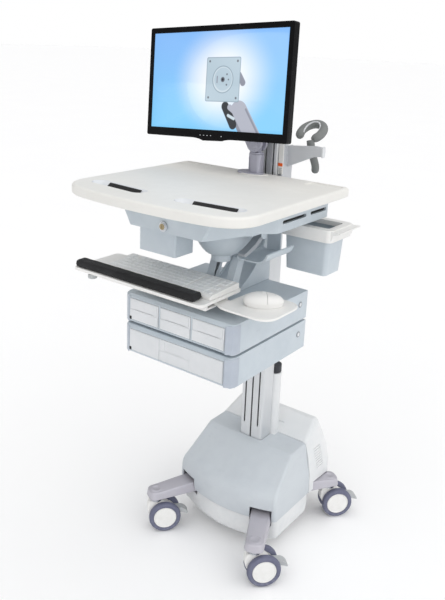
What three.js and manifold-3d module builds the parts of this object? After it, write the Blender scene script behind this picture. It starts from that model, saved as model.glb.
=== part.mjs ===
// Medication cart: wheeled base, fixed column, and a lifting head with worktop,
// keyboard, drawers, bin, scanner holder and a monitor arm.
// Millimetres, +Z up, the user stands on the -Y side and faces +Y.
import * as THREE from 'three';
import { mergeVertices } from 'three/addons/utils/BufferGeometryUtils.js';
import Module from 'manifold-3d';

const wasm = await Module();
wasm.setup();

// ---- driving dimensions -------------------------------------------------
const gap = 0.4;                 // clearance between touching pieces
const middle = { x: 37.68, y: 112.29 };   // moves the cart so that its overall box is centred

const caster = { frontX: 188, frontY: -210, rearX: 199, rearY: 210, radius: 50, trail: 26, turn: 47 };
const wheel = { inner: 14, outer: 32, axle: 5 };
const leg = { bottom: 113, top: 150, tip: 138, root: 34, end: 29 };
const pan = { bottom: 45, top: 120, half: 179, front: -88, bow: 38, back: 118, wall: 4 };
const hood = { bottom: 121, step: 200, top: 292, seam: 104, wall: 3.5 };
const column = { half: 41, front: 24, back: 82, bottom: 131, top: 1330, slot: 5, slotAt: 25 };
const worktop = { half: 278, front: -520, back: 12, top: 1148, thick: 26 };
const handle = { inner: 72, outer: 216, innerY: -440, outerY: -427, radius: 12, scoop: 12 };
const housing = { half: 220, front: -412, bottom: 1052, sideBottom: 1066, back: 10 };
const carriage = { half: 48, front: 4, bottom: 690, top: 1112 };
const drawerCase = { half: 183, front: -363, back: -1, chamfer: 22, opening: 160 };
const upperCase = { bottom: 758, top: 840, bays: 3 };
const lowerCase = { bottom: 668, top: 751, bays: 1 };
const keyboardTray = { left: -335, right: 118, front: -410, back: -232, top: 890, thick: 8 };
const mouseTray = { left: -60, right: 276, front: -350, back: -192, top: 874, thick: 6 };
const bin = { left: 118, right: 262, halfDepth: 52, bottom: 906, top: 1040 };
const scannerArm = { y: 52, depth: 14, reach: 140 };
const armFoot = { x: -8, y: -12 };
const armLink = { z: 1234, dx: -70, dz: 116, radius: 24, halfWidth: 18 };
const display = { width: 509, height: 308, x: -107, y: -84, z: 1402, tilt: 6, yaw: -3.4, roll: -3.5 };

// ---- materials ----------------------------------------------------------
const finish = (color, roughness, metalness = 0) => new THREE.MeshStandardMaterial({ color, roughness, metalness });
const whitePlastic = finish(0xf0f0ee, 0.45);
const greyPlastic = finish(0xc3cbd0, 0.5);
const blueGrey = finish(0xb9c5cc, 0.5);
const castMetal = finish(0xb9b7c2, 0.45, 0.3);
const aluminium = finish(0xd9d9d9, 0.35, 0.6);
const steel = finish(0xb8bcc0, 0.3, 0.9);
const darkPlastic = finish(0x22242a, 0.4);
const glossBlack = finish(0x16161a, 0.15);
const tyreRubber = finish(0x6c6f84, 0.6);
const softBlack = finish(0x2b2b2e, 0.8);
const greyRubber = finish(0x8b8d8c, 0.7);
const orangeMark = finish(0xf06a1e, 0.5);
const screenBlue = finish(0x8ecbff, 0.2);

// ---- solid helpers ------------------------------------------------------
// Gives a manifold solid for a closed three.js geometry.
function solid(geometry) {
  const bare = geometry.clone();
  bare.deleteAttribute('normal');
  bare.deleteAttribute('uv');
  const merged = mergeVertices(bare, 1e-3);
  const index = Array.from(merged.index.array);
  const triangles = [];
  for (let i = 0; i < index.length; i += 3) {
    const [a, b, c] = index.slice(i, i + 3);
    if (a !== b && b !== c && c !== a) triangles.push(a, b, c);
  }
  return new wasm.Manifold(new wasm.Mesh({
    numProp: 3,
    vertProperties: new Float32Array(merged.attributes.position.array),
    triVerts: new Uint32Array(triangles),
  }));
}

function geometryOf(shape) {
  const mesh = shape.getMesh();
  const geometry = new THREE.BufferGeometry();
  geometry.setAttribute('position', new THREE.BufferAttribute(new Float32Array(mesh.vertProperties), 3));
  geometry.setIndex(new THREE.BufferAttribute(new Uint32Array(mesh.triVerts), 1));
  geometry.computeVertexNormals();
  return geometry;
}

const join = (...solids) => solids.reduce((all, one) => all.add(one));
const cut = (body, ...tools) => tools.reduce((left, tool) => left.subtract(tool), body);

// Extrudes a closed outline. Along 'z' the points are (x, y), along 'x' they are (y, z),
// and along 'y' they are (x, z).
function prism(outline, axis, from, to, curveSegments = 6) {
  const shape = Array.isArray(outline) ? new THREE.Shape(outline.map(([u, v]) => new THREE.Vector2(u, v))) : outline;
  const geometry = new THREE.ExtrudeGeometry(shape, { depth: to - from, bevelEnabled: false, curveSegments });
  const basis = new THREE.Matrix4();
  if (axis === 'x') {
    basis.makeBasis(new THREE.Vector3(0, 1, 0), new THREE.Vector3(0, 0, 1), new THREE.Vector3(1, 0, 0));
    basis.setPosition(from, 0, 0);
  } else if (axis === 'y') {
    basis.makeBasis(new THREE.Vector3(1, 0, 0), new THREE.Vector3(0, 0, 1), new THREE.Vector3(0, -1, 0));
    basis.setPosition(0, to, 0);
  } else {
    basis.setPosition(0, 0, from);
  }
  return solid(geometry.applyMatrix4(basis));
}

// A rectangle with round corners, from its two corner points.
function roundRect(u0, u1, v0, v1, radius) {
  const shape = new THREE.Shape();
  shape.moveTo(u0 + radius, v0);
  shape.lineTo(u1 - radius, v0);
  shape.absarc(u1 - radius, v0 + radius, radius, -Math.PI / 2, 0);
  shape.lineTo(u1, v1 - radius);
  shape.absarc(u1 - radius, v1 - radius, radius, 0, Math.PI / 2);
  shape.lineTo(u0 + radius, v1);
  shape.absarc(u0 + radius, v1 - radius, radius, Math.PI / 2, Math.PI);
  shape.lineTo(u0, v0 + radius);
  shape.absarc(u0 + radius, v0 + radius, radius, Math.PI, 1.5 * Math.PI);
  return shape;
}

function box(x0, x1, y0, y1, z0, z1) {
  const geometry = new THREE.BoxGeometry(x1 - x0, y1 - y0, z1 - z0);
  geometry.translate((x0 + x1) / 2, (y0 + y1) / 2, (z0 + z1) / 2);
  return solid(geometry);
}

const roundBox = (x0, x1, y0, y1, z0, z1, radius) => prism(roundRect(x0, x1, y0, y1, radius), 'z', z0, z1, 5);

function rod(from, to, radius, sides = 24, radiusTo = radius) {
  const start = new THREE.Vector3(...from);
  const end = new THREE.Vector3(...to);
  const along = end.clone().sub(start);
  const geometry = new THREE.CylinderGeometry(radiusTo, radius, along.length(), sides);
  const turn = new THREE.Quaternion().setFromUnitVectors(new THREE.Vector3(0, 1, 0), along.clone().normalize());
  geometry.applyQuaternion(turn);
  geometry.translate(...start.add(end).multiplyScalar(0.5).toArray());
  return solid(geometry);
}

// A tube of round section along a smooth curve.
function sweep(points, radius, steps, sides = 10) {
  const path = new THREE.CatmullRomCurve3(points.map((p) => new THREE.Vector3(...p)));
  const section = new THREE.Shape();
  section.absarc(0, 0, radius, 0, 2 * Math.PI);
  const half = Math.round(sides / 2);
  return solid(new THREE.ExtrudeGeometry(section, { steps, extrudePath: path, curveSegments: half * 2 }));
}

// Skins a stack of rings of equal count, bottom ring first, each anticlockwise seen from the top.
function loft(rings) {
  const count = rings[0].length;
  const positions = rings.flat(2);
  const index = [];
  for (let level = 0; level + 1 < rings.length; level += 1) {
    for (let i = 0; i < count; i += 1) {
      const a = level * count + i;
      const b = level * count + ((i + 1) % count);
      index.push(a, b, b + count, a, b + count, a + count);
    }
  }
  const capPoints = (ring) => ring.map(([x, y]) => new THREE.Vector2(x, y));
  for (const [a, b, c] of THREE.ShapeUtils.triangulateShape(capPoints(rings[0]), [])) index.push(a, c, b);
  const last = (rings.length - 1) * count;
  for (const [a, b, c] of THREE.ShapeUtils.triangulateShape(capPoints(rings.at(-1)), [])) {
    index.push(last + a, last + b, last + c);
  }
  const geometry = new THREE.BufferGeometry();
  geometry.setAttribute('position', new THREE.BufferAttribute(new Float32Array(positions), 3));
  geometry.setIndex(index);
  return solid(geometry);
}

// A plan ring with round corners whose front edge bows forward.
function planRing({ half, front, back, bow = 0, radius = 18, z, slope = 0 }) {
  const ring = [];
  const corner = (cx, cy, start) => {
    for (let i = 0; i <= 4; i += 1) {
      const angle = start + (i / 4) * (Math.PI / 2);
      ring.push([cx + radius * Math.cos(angle), cy + radius * Math.sin(angle)]);
    }
  };
  corner(-half + radius, front + radius, Math.PI);
  for (let i = 1; i < 10; i += 1) {
    const u = -1 + (2 * i) / 10;
    ring.push([u * (half - radius), front - bow * (1 - u * u)]);
  }
  corner(half - radius, front + radius, 1.5 * Math.PI);
  corner(half - radius, back - radius, 0);
  corner(-half + radius, back - radius, Math.PI / 2);
  return ring.map(([x, y]) => [x, y, z + slope * (y - front)]);
}

// ---- scene graph --------------------------------------------------------
const cart = new THREE.Group();
cart.position.set(middle.x, middle.y, 0);

function add(name, shape, material, parent = cart) {
  const mesh = new THREE.Mesh(geometryOf(shape), material);
  mesh.name = name;
  parent.add(mesh);
  return mesh;
}

// ---- base: casting, pan, covers, battery --------------------------------
const legTips = [
  { x: -caster.frontX, y: caster.frontY, rootX: -110, rootY: -50 },
  { x: caster.frontX, y: caster.frontY, rootX: 110, rootY: -50 },
  { x: caster.rearX, y: caster.rearY, rootX: 115, rootY: 90 },
  { x: -caster.rearX, y: caster.rearY, rootX: -115, rootY: 90 },
];

// One tapered leg with a round tip over the caster stem; grow widens it for the cut-outs.
function legSolid(tip, grow = 0) {
  const along = new THREE.Vector2(tip.x - tip.rootX, tip.y - tip.rootY);
  const length = along.length();
  along.normalize();
  const rings = [[], []];
  const put = (u, v) => {
    for (const level of [0, 1]) {
      const inset = level ? 5 : 0;
      const side = Math.sign(v) * Math.max(Math.abs(v) + grow - inset, 0);
      const reach = u > length ? u + grow - inset : u;
      const x = tip.rootX + along.x * reach - along.y * side;
      const y = tip.rootY + along.y * reach + along.x * side;
      const rise = leg.top + (leg.tip - leg.top) * Math.min(reach / length, 1) + grow;
      rings[level].push([x, y, level ? rise : leg.bottom - grow]);
    }
  };
  put(0, -leg.root);
  put(length, -leg.end);
  for (let i = 1; i < 8; i += 1) {
    const angle = -Math.PI / 2 + (i / 8) * Math.PI;
    put(length + leg.end * Math.cos(angle), leg.end * Math.sin(angle));
  }
  put(length, leg.end);
  put(0, leg.root);
  return loft(rings);
}

const basePlate = roundBox(-128, 128, -74, 112, leg.bottom, 130.6, 20);
add('base_frame', join(basePlate, ...legTips.map((tip) => legSolid(tip))), castMetal);

const legCuts = legTips.map((tip) => legSolid(tip, 1.6));
const panRing = (inset, z) => planRing({
  half: pan.half - inset, front: pan.front + inset, back: pan.back - inset, bow: pan.bow, z,
});
const panOuter = loft([panRing(16, pan.bottom), panRing(2, pan.bottom + 16), panRing(0, pan.top)]);
const panInner = loft([panRing(16 + pan.wall, pan.bottom + 5), panRing(pan.wall + 2, 66), panRing(pan.wall, 122)]);
add('lower_pan', cut(panOuter, panInner, ...legCuts), whitePlastic);

const batteryPack = roundBox(-105, 105, -58, 90, pan.bottom + 5 + gap, leg.bottom - gap, 6);
add('battery_pack', batteryPack, darkPlastic);

// The hood rises in a straight slope from the front lip to the flat top around the column.
function hoodSolid(inset, floor) {
  const level = (z, half, front, bow) => planRing({
    half: half - inset, front: front + inset, back: hood.seam, bow, z: z - inset, radius: 12,
  });
  return loft([
    floor(planRing({ half: 182 - inset, front: -92 + inset, back: hood.seam, bow: 38, z: hood.bottom, radius: 12 })),
    level(168, 181, -98, 38),
    level(hood.step, 178, -96, 36),
    level(hood.step + 10, 174, -84, 34),
    level(hood.top - 4, 161, 14, 8),
    level(hood.top, 156, 24, 4),
  ]);
}
const keep = (ring) => ring;
const sink = (ring) => ring.map(([x, y, z]) => [x, y, z - 4]);
const columnClear = join(box(-column.half - 1, column.half + 1, column.front - 1, column.back, 100, 400),
  box(-56, 56, column.back - 1, 140, 100, 400));
const backTrim = box(-260, 260, hood.seam - gap, 300, 90, 400);
const frontCover = cut(hoodSolid(0, keep), hoodSolid(hood.wall, sink), columnClear, backTrim, ...legCuts);
add('front_cover', frontCover, greyPlastic);

function rearSolid(inset, low) {
  const level = (z, half, front, back) => planRing({
    half: half - inset, front, back: back - inset, z: z - inset, radius: Math.min(24, (back - inset - front) / 2.2),
  });
  return loft([
    planRing({ half: 184 - inset, front: hood.seam - 60, back: 236 - inset, z: low, radius: 24 }),
    level(190, 182, hood.seam - 60, 234),
    level(292, 158, hood.seam - 40, 216),
    level(318, 151, 160, 210),
    level(336, 140, 184, 202),
  ]);
}
const frontTrim = box(-260, 260, 0, hood.seam, 80, 400);
const ventSlot = (row) => box(-260, 260, 150 + row * 7, 152.6 + row * 7, 208 - row * 3, 250 - row * 3);
const vents = Array.from({ length: 7 }, (_, row) => ventSlot(row));
const rearCover = cut(rearSolid(0, hood.bottom), rearSolid(hood.wall, hood.bottom - 4), frontTrim, columnClear,
  ...vents, ...legCuts);
add('rear_cover', rearCover, whitePlastic);

// ---- column -------------------------------------------------------------
const slotCut = (x, from) => box(x - column.slot / 2, x + column.slot / 2, column.front - 1, column.front + 6, from,
  column.top + 1);
const columnBody = roundBox(-column.half, column.half, column.front, column.back, column.bottom, column.top, 7);
add('column', cut(columnBody, slotCut(0, 285), slotCut(-column.slotAt, 336), slotCut(column.slotAt, 336)), aluminium);
add('column_cap', roundBox(-column.half, column.half, column.front, column.back, column.top + gap, column.top + 9, 7),
  greyPlastic);

const tubeShape = roundRect(-50, 50, column.back + gap, column.back + 44, 21);
add('cable_tube', prism(tubeShape, 'z', 252, 500), blueGrey);
add('cable_tube_cap', prism(roundRect(-49, 49, column.back + gap + 1, column.back + 43, 20), 'z', 500 + gap, 528),
  darkPlastic);

// ---- casters ------------------------------------------------------------
// Local frame of a caster: u points to the trailing side, v along the axle, origin on the floor.
function forkSolid() {
  const outline = new THREE.Shape();
  outline.moveTo(-22, 101);
  outline.lineTo(20, 101);
  outline.quadraticCurveTo(36, 92, caster.trail + 19, caster.radius + 8);
  outline.absarc(caster.trail, caster.radius, 20, 0.35, -Math.PI / 2, true);
  outline.quadraticCurveTo(-24, 30, -29, 62);
  outline.quadraticCurveTo(-33, 92, -22, 101);
  const body = prism(outline, 'y', -13.4, 13.4, 8);
  const stem = rod([0, 0, 100], [0, 0, leg.bottom - gap], 15);
  const bore = rod([caster.trail, -30, caster.radius], [caster.trail, 30, caster.radius], wheel.axle + 0.6, 16);
  return cut(join(body, stem), bore);
}

function wheelSolid() {
  const disc = (side) => {
    const profile = [[0, wheel.inner], [46, wheel.inner], [50, wheel.inner + 5], [50, wheel.outer - 6],
      [45, wheel.outer], [38, wheel.outer], [36, wheel.outer - 2.5], [0, wheel.outer - 2.5]];
    const points = profile.map(([r, v]) => new THREE.Vector2(r, v));
    const geometry = new THREE.LatheGeometry(points, 28);
    geometry.rotateX(side > 0 ? 0 : Math.PI);
    geometry.translate(caster.trail, 0, caster.radius);
    return solid(geometry);
  };
  const axle = rod([caster.trail, -20, caster.radius], [caster.trail, 20, caster.radius], wheel.axle, 16);
  return join(disc(1), disc(-1), axle);
}

function pedalSolid() {
  const hinge = { u: 58, z: 63 };
  const outline = new THREE.Shape();
  outline.moveTo(hinge.u, hinge.z + 8);
  outline.absarc(hinge.u, hinge.z, 8, Math.PI / 2, 1.5 * Math.PI);
  outline.lineTo(74, 55);
  outline.lineTo(95, 50);
  outline.lineTo(97, 54);
  outline.lineTo(84, 66);
  outline.lineTo(hinge.u, hinge.z + 8);
  const pad = prism([[80, 54.5], [98, 49], [100, 53], [82, 66]], 'y', -18, 18);
  return join(prism(outline, 'y', -11, 11), pad);
}

const corners = { front_left: legTips[0], front_right: legTips[1], rear_right: legTips[2], rear_left: legTips[3] };
for (const [corner, tip] of Object.entries(corners)) {
  const group = new THREE.Group();
  group.position.set(tip.x, tip.y, 0);
  group.rotation.z = THREE.MathUtils.degToRad(caster.turn);
  cart.add(group);
  add(`caster_fork_${corner}`, forkSolid(), whitePlastic, group);
  add(`wheels_${corner}`, wheelSolid(), tyreRubber, group);
  add(`brake_pedal_${corner}`, pedalSolid(), greyPlastic, group);
}

// ---- lifting carriage, housing and worktop ------------------------------
const tongue = (x) => box(x - 1.3, x + 1.3, column.front - 3, column.front + 3.5, 740, 1100);
const cheek = (side) => box(Math.min(side * 44, side * 50), Math.max(side * 44, side * 50), carriage.front, 84, 1012,
  carriage.top);
const carriageBody = box(-50, 50, carriage.front, column.front - 1, 1012, carriage.top);
const carriagePlate = box(-carriage.half, carriage.half, carriage.front, column.front - 1, carriage.bottom, 1013);
add('carriage', join(carriageBody, carriagePlate, cheek(1), cheek(-1), tongue(0), tongue(-column.slotAt),
  tongue(column.slotAt)), aluminium);

const worktopShape = new THREE.Shape();
worktopShape.moveTo(-worktop.half + 12, worktop.back);
worktopShape.quadraticCurveTo(-worktop.half, worktop.back, -worktop.half, worktop.back - 12);
worktopShape.lineTo(-worktop.half - 3, worktop.front + 110);
worktopShape.bezierCurveTo(-worktop.half - 3, worktop.front + 40, -worktop.half + 40, worktop.front + 18, -170,
  worktop.front + 10);
worktopShape.quadraticCurveTo(0, worktop.front - 10, 170, worktop.front + 10);
worktopShape.bezierCurveTo(worktop.half - 40, worktop.front + 18, worktop.half + 3, worktop.front + 40,
  worktop.half + 3, worktop.front + 110);
worktopShape.lineTo(worktop.half, worktop.back - 12);
worktopShape.quadraticCurveTo(worktop.half, worktop.back, worktop.half - 12, worktop.back);

// A through grip near the front edge, on the left (-1) or right (+1).
function gripCut(side) {
  const from = worktop.top - worktop.thick - 1;
  const inner = new THREE.Vector2(side * handle.inner, handle.innerY);
  const outer = new THREE.Vector2(side * handle.outer, handle.outerY);
  const along = outer.clone().sub(inner).normalize();
  const heading = Math.atan2(along.y, along.x);
  const ring = (grow, z) => {
    const arc = (at, start) => Array.from({ length: 9 }, (_, i) => {
      const angle = start + (i / 8) * Math.PI;
      const radius = handle.radius + grow;
      return [at.x + radius * Math.cos(angle), at.y + grow + radius * Math.sin(angle), z];
    });
    return [...arc(outer, heading - Math.PI / 2), ...arc(inner, heading + Math.PI / 2)];
  };
  const slot = loft([ring(0, from), ring(0, worktop.top + 1)]);
  return join(slot, loft([ring(0, worktop.top - handle.scoop), ring(11, worktop.top), ring(11.9, worktop.top + 1)]));
}
const worktopSlab = prism(worktopShape, 'z', worktop.top - worktop.thick, worktop.top, 14);
add('worktop', cut(worktopSlab, gripCut(1), gripCut(-1)), whitePlastic);

const housingTop = worktop.top - worktop.thick - gap;
const housingOutline = [[-220, 10], [-220, -245], [-168, -300], [-140, housing.front], [140, housing.front],
  [168, -300], [220, -245], [220, 10], [54, 10], [54, carriage.front - gap], [-54, carriage.front - gap], [-54, 10]];
const housingInner = [[-214, 0], [-214, -240], [-152, -296], [-112, housing.front + 6], [112, housing.front + 6],
  [152, -296], [214, -240], [214, 0], [48, 0], [48, -6], [-48, -6], [-48, 0]];
// The nose tapers inwards towards its underside.
const noseHalf = { [-140]: [-120, -158], 140: [120, 158] };
const housingRing = (level, z) => housingOutline.map(([x, y]) => [noseHalf[x] ? noseHalf[x][level] : x, y, z]);
const sideStep = (side) => box(Math.min(side * 168, side * 240), Math.max(side * 168, side * 240), -300, 40,
  housing.bottom - 1, housing.sideBottom);
const slotRow = (y0, y1) => box(-240, 240, y0, y1, 1096, 1103);
const leverAt = { x: 150, y: -216, z: 1040 };
const lug = (x) => prism([[leverAt.y - 12, housing.bottom + 2], [leverAt.y - 9, 1032], [leverAt.y + 9, 1032],
  [leverAt.y + 12, housing.bottom + 2]], 'x', x, x + 4);
const lockBore = rod([-2, housing.front - 2, 1068], [-2, housing.front + 8, 1068], 10.5, 20);
add('underbody', cut(join(
  cut(loft([housingRing(0, housing.bottom), housingRing(1, housingTop)]), sideStep(1), sideStep(-1),
    prism(housingInner, 'z', housing.sideBottom + 5, housingTop + 5), slotRow(-222, -108), slotRow(-86, -2)),
  lug(leverAt.x - 15), lug(leverAt.x + 11)), lockBore), blueGrey);

add('key_lock', join(rod([-2, housing.front - 7, 1068], [-2, housing.front + 5, 1068], 10),
  rod([-2, housing.front - 5, 1068], [-2, housing.front - 0.5, 1068], 13)), steel);

const leverOutline = new THREE.Shape();
leverOutline.moveTo(leverAt.y, leverAt.z + 8);
leverOutline.absarc(leverAt.y, leverAt.z, 8, Math.PI / 2, -0.6, true);
leverOutline.quadraticCurveTo(leverAt.y - 20, 1006, -290, 996);
leverOutline.quadraticCurveTo(-298, 1000, -292, 1006);
leverOutline.quadraticCurveTo(leverAt.y - 28, 1018, leverAt.y, leverAt.z + 8);
add('lift_lever', prism(leverOutline, 'x', leverAt.x - 10.6, leverAt.x + 10.6, 8), greyPlastic);

add('power_box', roundBox(-119, 4, -374, -300, 978, housing.bottom - gap, 6), blueGrey);

// Bowl-shaped cover over the keyboard arm's pivot.
const pivotAt = { x: 30, y: -228 };
const bowlRing = (rx, ry, y, z) => Array.from({ length: 28 }, (_, i) => {
  const angle = (i / 28) * 2 * Math.PI;
  return [pivotAt.x + 8 + rx * Math.cos(angle), y + ry * Math.sin(angle), z];
});
add('pivot_cover', loft([bowlRing(30, 28, pivotAt.y, 968), bowlRing(44, 42, -226, 976), bowlRing(68, 62, -218, 1006),
  bowlRing(90, 78, -208, housing.bottom - gap)]), blueGrey);

// Accessory dish with curled lips, hung from the housing.
const dishOutline = new THREE.Shape();
dishOutline.moveTo(90, 972);
dishOutline.quadraticCurveTo(92, 964, 100, 963);
dishOutline.lineTo(150, 964);
dishOutline.quadraticCurveTo(180, 966, 186, 992);
dishOutline.lineTo(182, 994);
dishOutline.quadraticCurveTo(174, 969, 150, 968);
dishOutline.lineTo(102, 967);
dishOutline.quadraticCurveTo(95, 968, 93, 973);
const dishHanger = box(104, 146, -106, -102, 965, housing.bottom - gap);
add('accessory_dish', join(prism(dishOutline, 'y', -228, -102, 8), dishHanger), blueGrey);

// ---- drawer units -------------------------------------------------------
function caseOutline(grow = 0) {
  const { half, front, back, chamfer } = drawerCase;
  return [[-half, back], [-half, front + chamfer], [-half + 5, front + 9], [-half + 18, front], [half - 18, front],
    [half - 5, front + 9], [half, front + chamfer], [half, back]].map(([x, y]) => [x + Math.sign(x) * grow, y]);
}

function bayRanges(bays) {
  const divider = 5;
  const width = (2 * drawerCase.opening - divider * (bays - 1)) / bays;
  return Array.from({ length: bays }, (_, i) => {
    const left = -drawerCase.opening + i * (width + divider);
    return [left, left + width];
  });
}

function caseSolid({ bottom, top, bays }) {
  const shell = prism(caseOutline(), 'z', bottom, top);
  const softTop = prism([[drawerCase.front - 1, top + 1], [drawerCase.front - 1, top - 9],
    [drawerCase.front + 9, top + 1]], 'x', -200, 200);
  const softBottom = prism([[drawerCase.front - 1, bottom - 1], [drawerCase.front + 9, bottom - 1],
    [drawerCase.front - 1, bottom + 9]], 'x', -200, 200);
  const pockets = bayRanges(bays).map(([x0, x1]) => box(x0, x1, drawerCase.front - 5, -12, bottom + 10, top - 10));
  return cut(shell, softTop, softBottom, ...pockets);
}

function drawerSolid([x0, x1], { bottom, top }) {
  const play = 1;
  const floor = bottom + 10 + play;
  const front = box(x0 + play, x1 - play, drawerCase.front - 1, drawerCase.front + 7, floor, top - 10 - play);
  const labelRecess = box((x0 + x1) / 2 - 34, (x0 + x1) / 2 + 34, drawerCase.front - 3, drawerCase.front + 0.5,
    floor + 30, top - 18);
  const tray = box(x0 + 3, x1 - 3, drawerCase.front + 6, -30, floor, top - 18);
  const inside = box(x0 + 5.5, x1 - 5.5, drawerCase.front + 9, -32.5, floor + 2.5, top);
  return cut(join(cut(front, labelRecess), tray), inside);
}

add('upper_drawer_case', caseSolid(upperCase), blueGrey);
add('lower_drawer_case', caseSolid(lowerCase), blueGrey);
const upperBays = bayRanges(upperCase.bays);
['left', 'middle', 'right'].forEach((side, i) => add(`drawer_${side}`, drawerSolid(upperBays[i], upperCase),
  whitePlastic));
add('drawer_wide', drawerSolid(bayRanges(lowerCase.bays)[0], lowerCase), whitePlastic);

// Curved gusset that joins the drawer units to the carriage.
const gussetOutline = new THREE.Shape();
gussetOutline.moveTo(carriage.front - gap, upperCase.top + gap);
gussetOutline.lineTo(carriage.front - gap, 1012);
gussetOutline.lineTo(-18, 1012);
gussetOutline.quadraticCurveTo(-34, 900, -138, 850);
gussetOutline.lineTo(-138, upperCase.top + gap);
const gussetHollow = new THREE.Shape();
gussetHollow.moveTo(-14, 1013);
gussetHollow.quadraticCurveTo(-30, 892, -128, 852);
gussetHollow.lineTo(-150, 900);
gussetHollow.lineTo(-60, 1013);
const gusset = cut(prism(gussetOutline, 'x', -48, 48, 10), prism(gussetHollow, 'x', -43, 43, 10));
add('drawer_bracket', gusset, blueGrey);
add('drawer_mount_plate', box(-90, 90, drawerCase.back + gap, carriage.front - gap, 694, 828), steel);

// ---- keyboard arm, tray, keyboard and mouse tray ------------------------
const armSide = (x0, x1) => prism([[-176, 958], [-204, 958], [-229.5, 896], [-229.5, 881.5], [-276, 881.5],
  [-276, 866], [-214, 866], [-206, 874]], 'x', x0, x1);
const swivel = rod([pivotAt.x + 8, pivotAt.y + 4, 950], [pivotAt.x + 8, pivotAt.y + 4, 968 - gap], 27);
const armTop = box(-6, 82, -204, -178, 950, 957.5);
add('keyboard_arm', join(armSide(-6, 16), armSide(60, 82), swivel, armTop,
  box(-6, 82, -272, -244, 868, 881)), blueGrey);

// The tray and, under it, the sleeve in which the mouse tray slides.
const trayFloor = keyboardTray.top - keyboardTray.thick;
const traySlab = roundBox(keyboardTray.left, keyboardTray.right, keyboardTray.front, -232, trayFloor,
  keyboardTray.top, 16);
const sleeve = cut(box(-262, 104, -372, -278, 862, trayFloor + 0.5),
  box(-190, 120, -362, -286, mouseTray.top - mouseTray.thick - 1, mouseTray.top + 1));
add('keyboard_tray', join(traySlab, sleeve), whitePlastic);

add('tilt_knob', join(rod([-290, -378, trayFloor - gap], [-290, -378, 870], 8),
  rod([-290, -378, 870.5], [-290, -378, 858], 13, 16)), greyPlastic);

const restProfile = roundRect(keyboardTray.front + 3, keyboardTray.front + 40, keyboardTray.top + gap, 911, 8);
add('wrist_rest', prism(restProfile, 'x', -328, 92, 6), softBlack);

const keyboardBase = prism([[-366, keyboardTray.top + gap], [-242, keyboardTray.top + gap], [-242, 909],
  [-366, 902]], 'x', -262, 112);
const keyField = (x0, x1) => prism([[-360, 900], [-250, 906], [-250, 912], [-360, 906]], 'x', x0, x1);
add('keyboard', join(keyboardBase, keyField(-254, 18), keyField(24, 104)), whitePlastic);

const padShape = new THREE.Shape();
padShape.moveTo(mouseTray.left, mouseTray.front + 16);
padShape.lineTo(110, mouseTray.front + 16);
padShape.quadraticCurveTo(128, mouseTray.front, 150, mouseTray.front);
padShape.lineTo(mouseTray.right - 46, mouseTray.front);
padShape.quadraticCurveTo(mouseTray.right, mouseTray.front, mouseTray.right, mouseTray.front + 46);
padShape.lineTo(mouseTray.right, mouseTray.back - 40);
padShape.quadraticCurveTo(mouseTray.right, mouseTray.back, mouseTray.right - 40, mouseTray.back);
padShape.lineTo(156, mouseTray.back);
padShape.quadraticCurveTo(126, mouseTray.back, 124, mouseTray.back - 34);
padShape.lineTo(122, -292);
padShape.lineTo(mouseTray.left, -292);
add('mouse_tray', prism(padShape, 'z', mouseTray.top - mouseTray.thick, mouseTray.top, 8), whitePlastic);

function mouseSolid() {
  const turn = THREE.MathUtils.degToRad(-50);
  const ring = (scale, z) => Array.from({ length: 24 }, (_, i) => {
    const angle = (i / 24) * 2 * Math.PI;
    const across = 31 * scale * Math.cos(angle);
    const along = 52 * scale * Math.sin(angle);
    return [204 + across * Math.cos(turn) - along * Math.sin(turn),
      -262 + across * Math.sin(turn) + along * Math.cos(turn), z];
  });
  const floor = mouseTray.top + gap;
  return loft([ring(0.94, floor), ring(1, floor + 7), ring(0.93, floor + 19), ring(0.72, floor + 29),
    ring(0.36, floor + 34)]);
}
add('mouse', mouseSolid(), whitePlastic);

// ---- waste bin ----------------------------------------------------------
const binSpan = { x: (bin.left + bin.right) / 2, half: (bin.right - bin.left) / 2 };
function binRing(inset, z) {
  return planRing({ half: binSpan.half - inset, front: -bin.halfDepth + inset, back: bin.halfDepth - inset, z,
    radius: 12 }).map(([x, y, height]) => [x + binSpan.x, y, height]);
}
const binBody = cut(loft([binRing(9, bin.bottom), binRing(3, 1026)]),
  loft([binRing(11.5, bin.bottom + 3), binRing(5.5, 1030)]));
add('bin', binBody, blueGrey);

const frameTop = new THREE.Shape(roundRect(102, 272, -64, 64, 16).getPoints(5));
const lipOutline = [[266, 1040], [266, 1012], [272, 1012], [276, 1028], [296, 1034], [297, 1038], [276, 1037]];
const frameBlock = join(prism(frameTop, 'z', 1006, bin.top), prism(lipOutline, 'y', -58, 58),
  box(50 + gap, 110, 10, 44, 1016, 1036));
const binPocket = roundBox(bin.left - 1, bin.right + 1, -bin.halfDepth - 1, bin.halfDepth + 1, 1000, 1027, 12);
add('bin_frame', cut(frameBlock, binPocket, roundBox(134, 254, -42, 42, 1000, 1050, 8)), whitePlastic);

// ---- scanner holder -----------------------------------------------------
const bracketOutline = [[54, 1168], [138, 1206], [164, 1210], [164, 1234], [138, 1236], [54, 1228]];
const bracketPlate = box(50 + gap, 55, 28, 80, 1070, 1228);
add('height_marker', box(43, 57.5, 23.4, 27.6, 1172, 1181), orangeMark);
add('scanner_bracket', join(prism(bracketOutline, 'y', scannerArm.y, scannerArm.y + scannerArm.depth), bracketPlate),
  aluminium);
const cradleAt = { x: 92, y: 116, z: 1266, radius: 33, rise: 0.6 };
const cradleRing = Array.from({ length: 9 }, (_, i) => {
  const angle = -1.05 + (i / 8) * (2 * Math.PI - 1.25);
  const back = cradleAt.radius * Math.sin(angle);
  return [cradleAt.x + cradleAt.radius * Math.cos(angle), cradleAt.y + back, cradleAt.z + cradleAt.rise * back];
});
const cradleTail = [[106, 86, 1246], [112, 84, 1226], [118, 88, 1200], [120, 100, 1174], [114, 112, 1154]];
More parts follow.
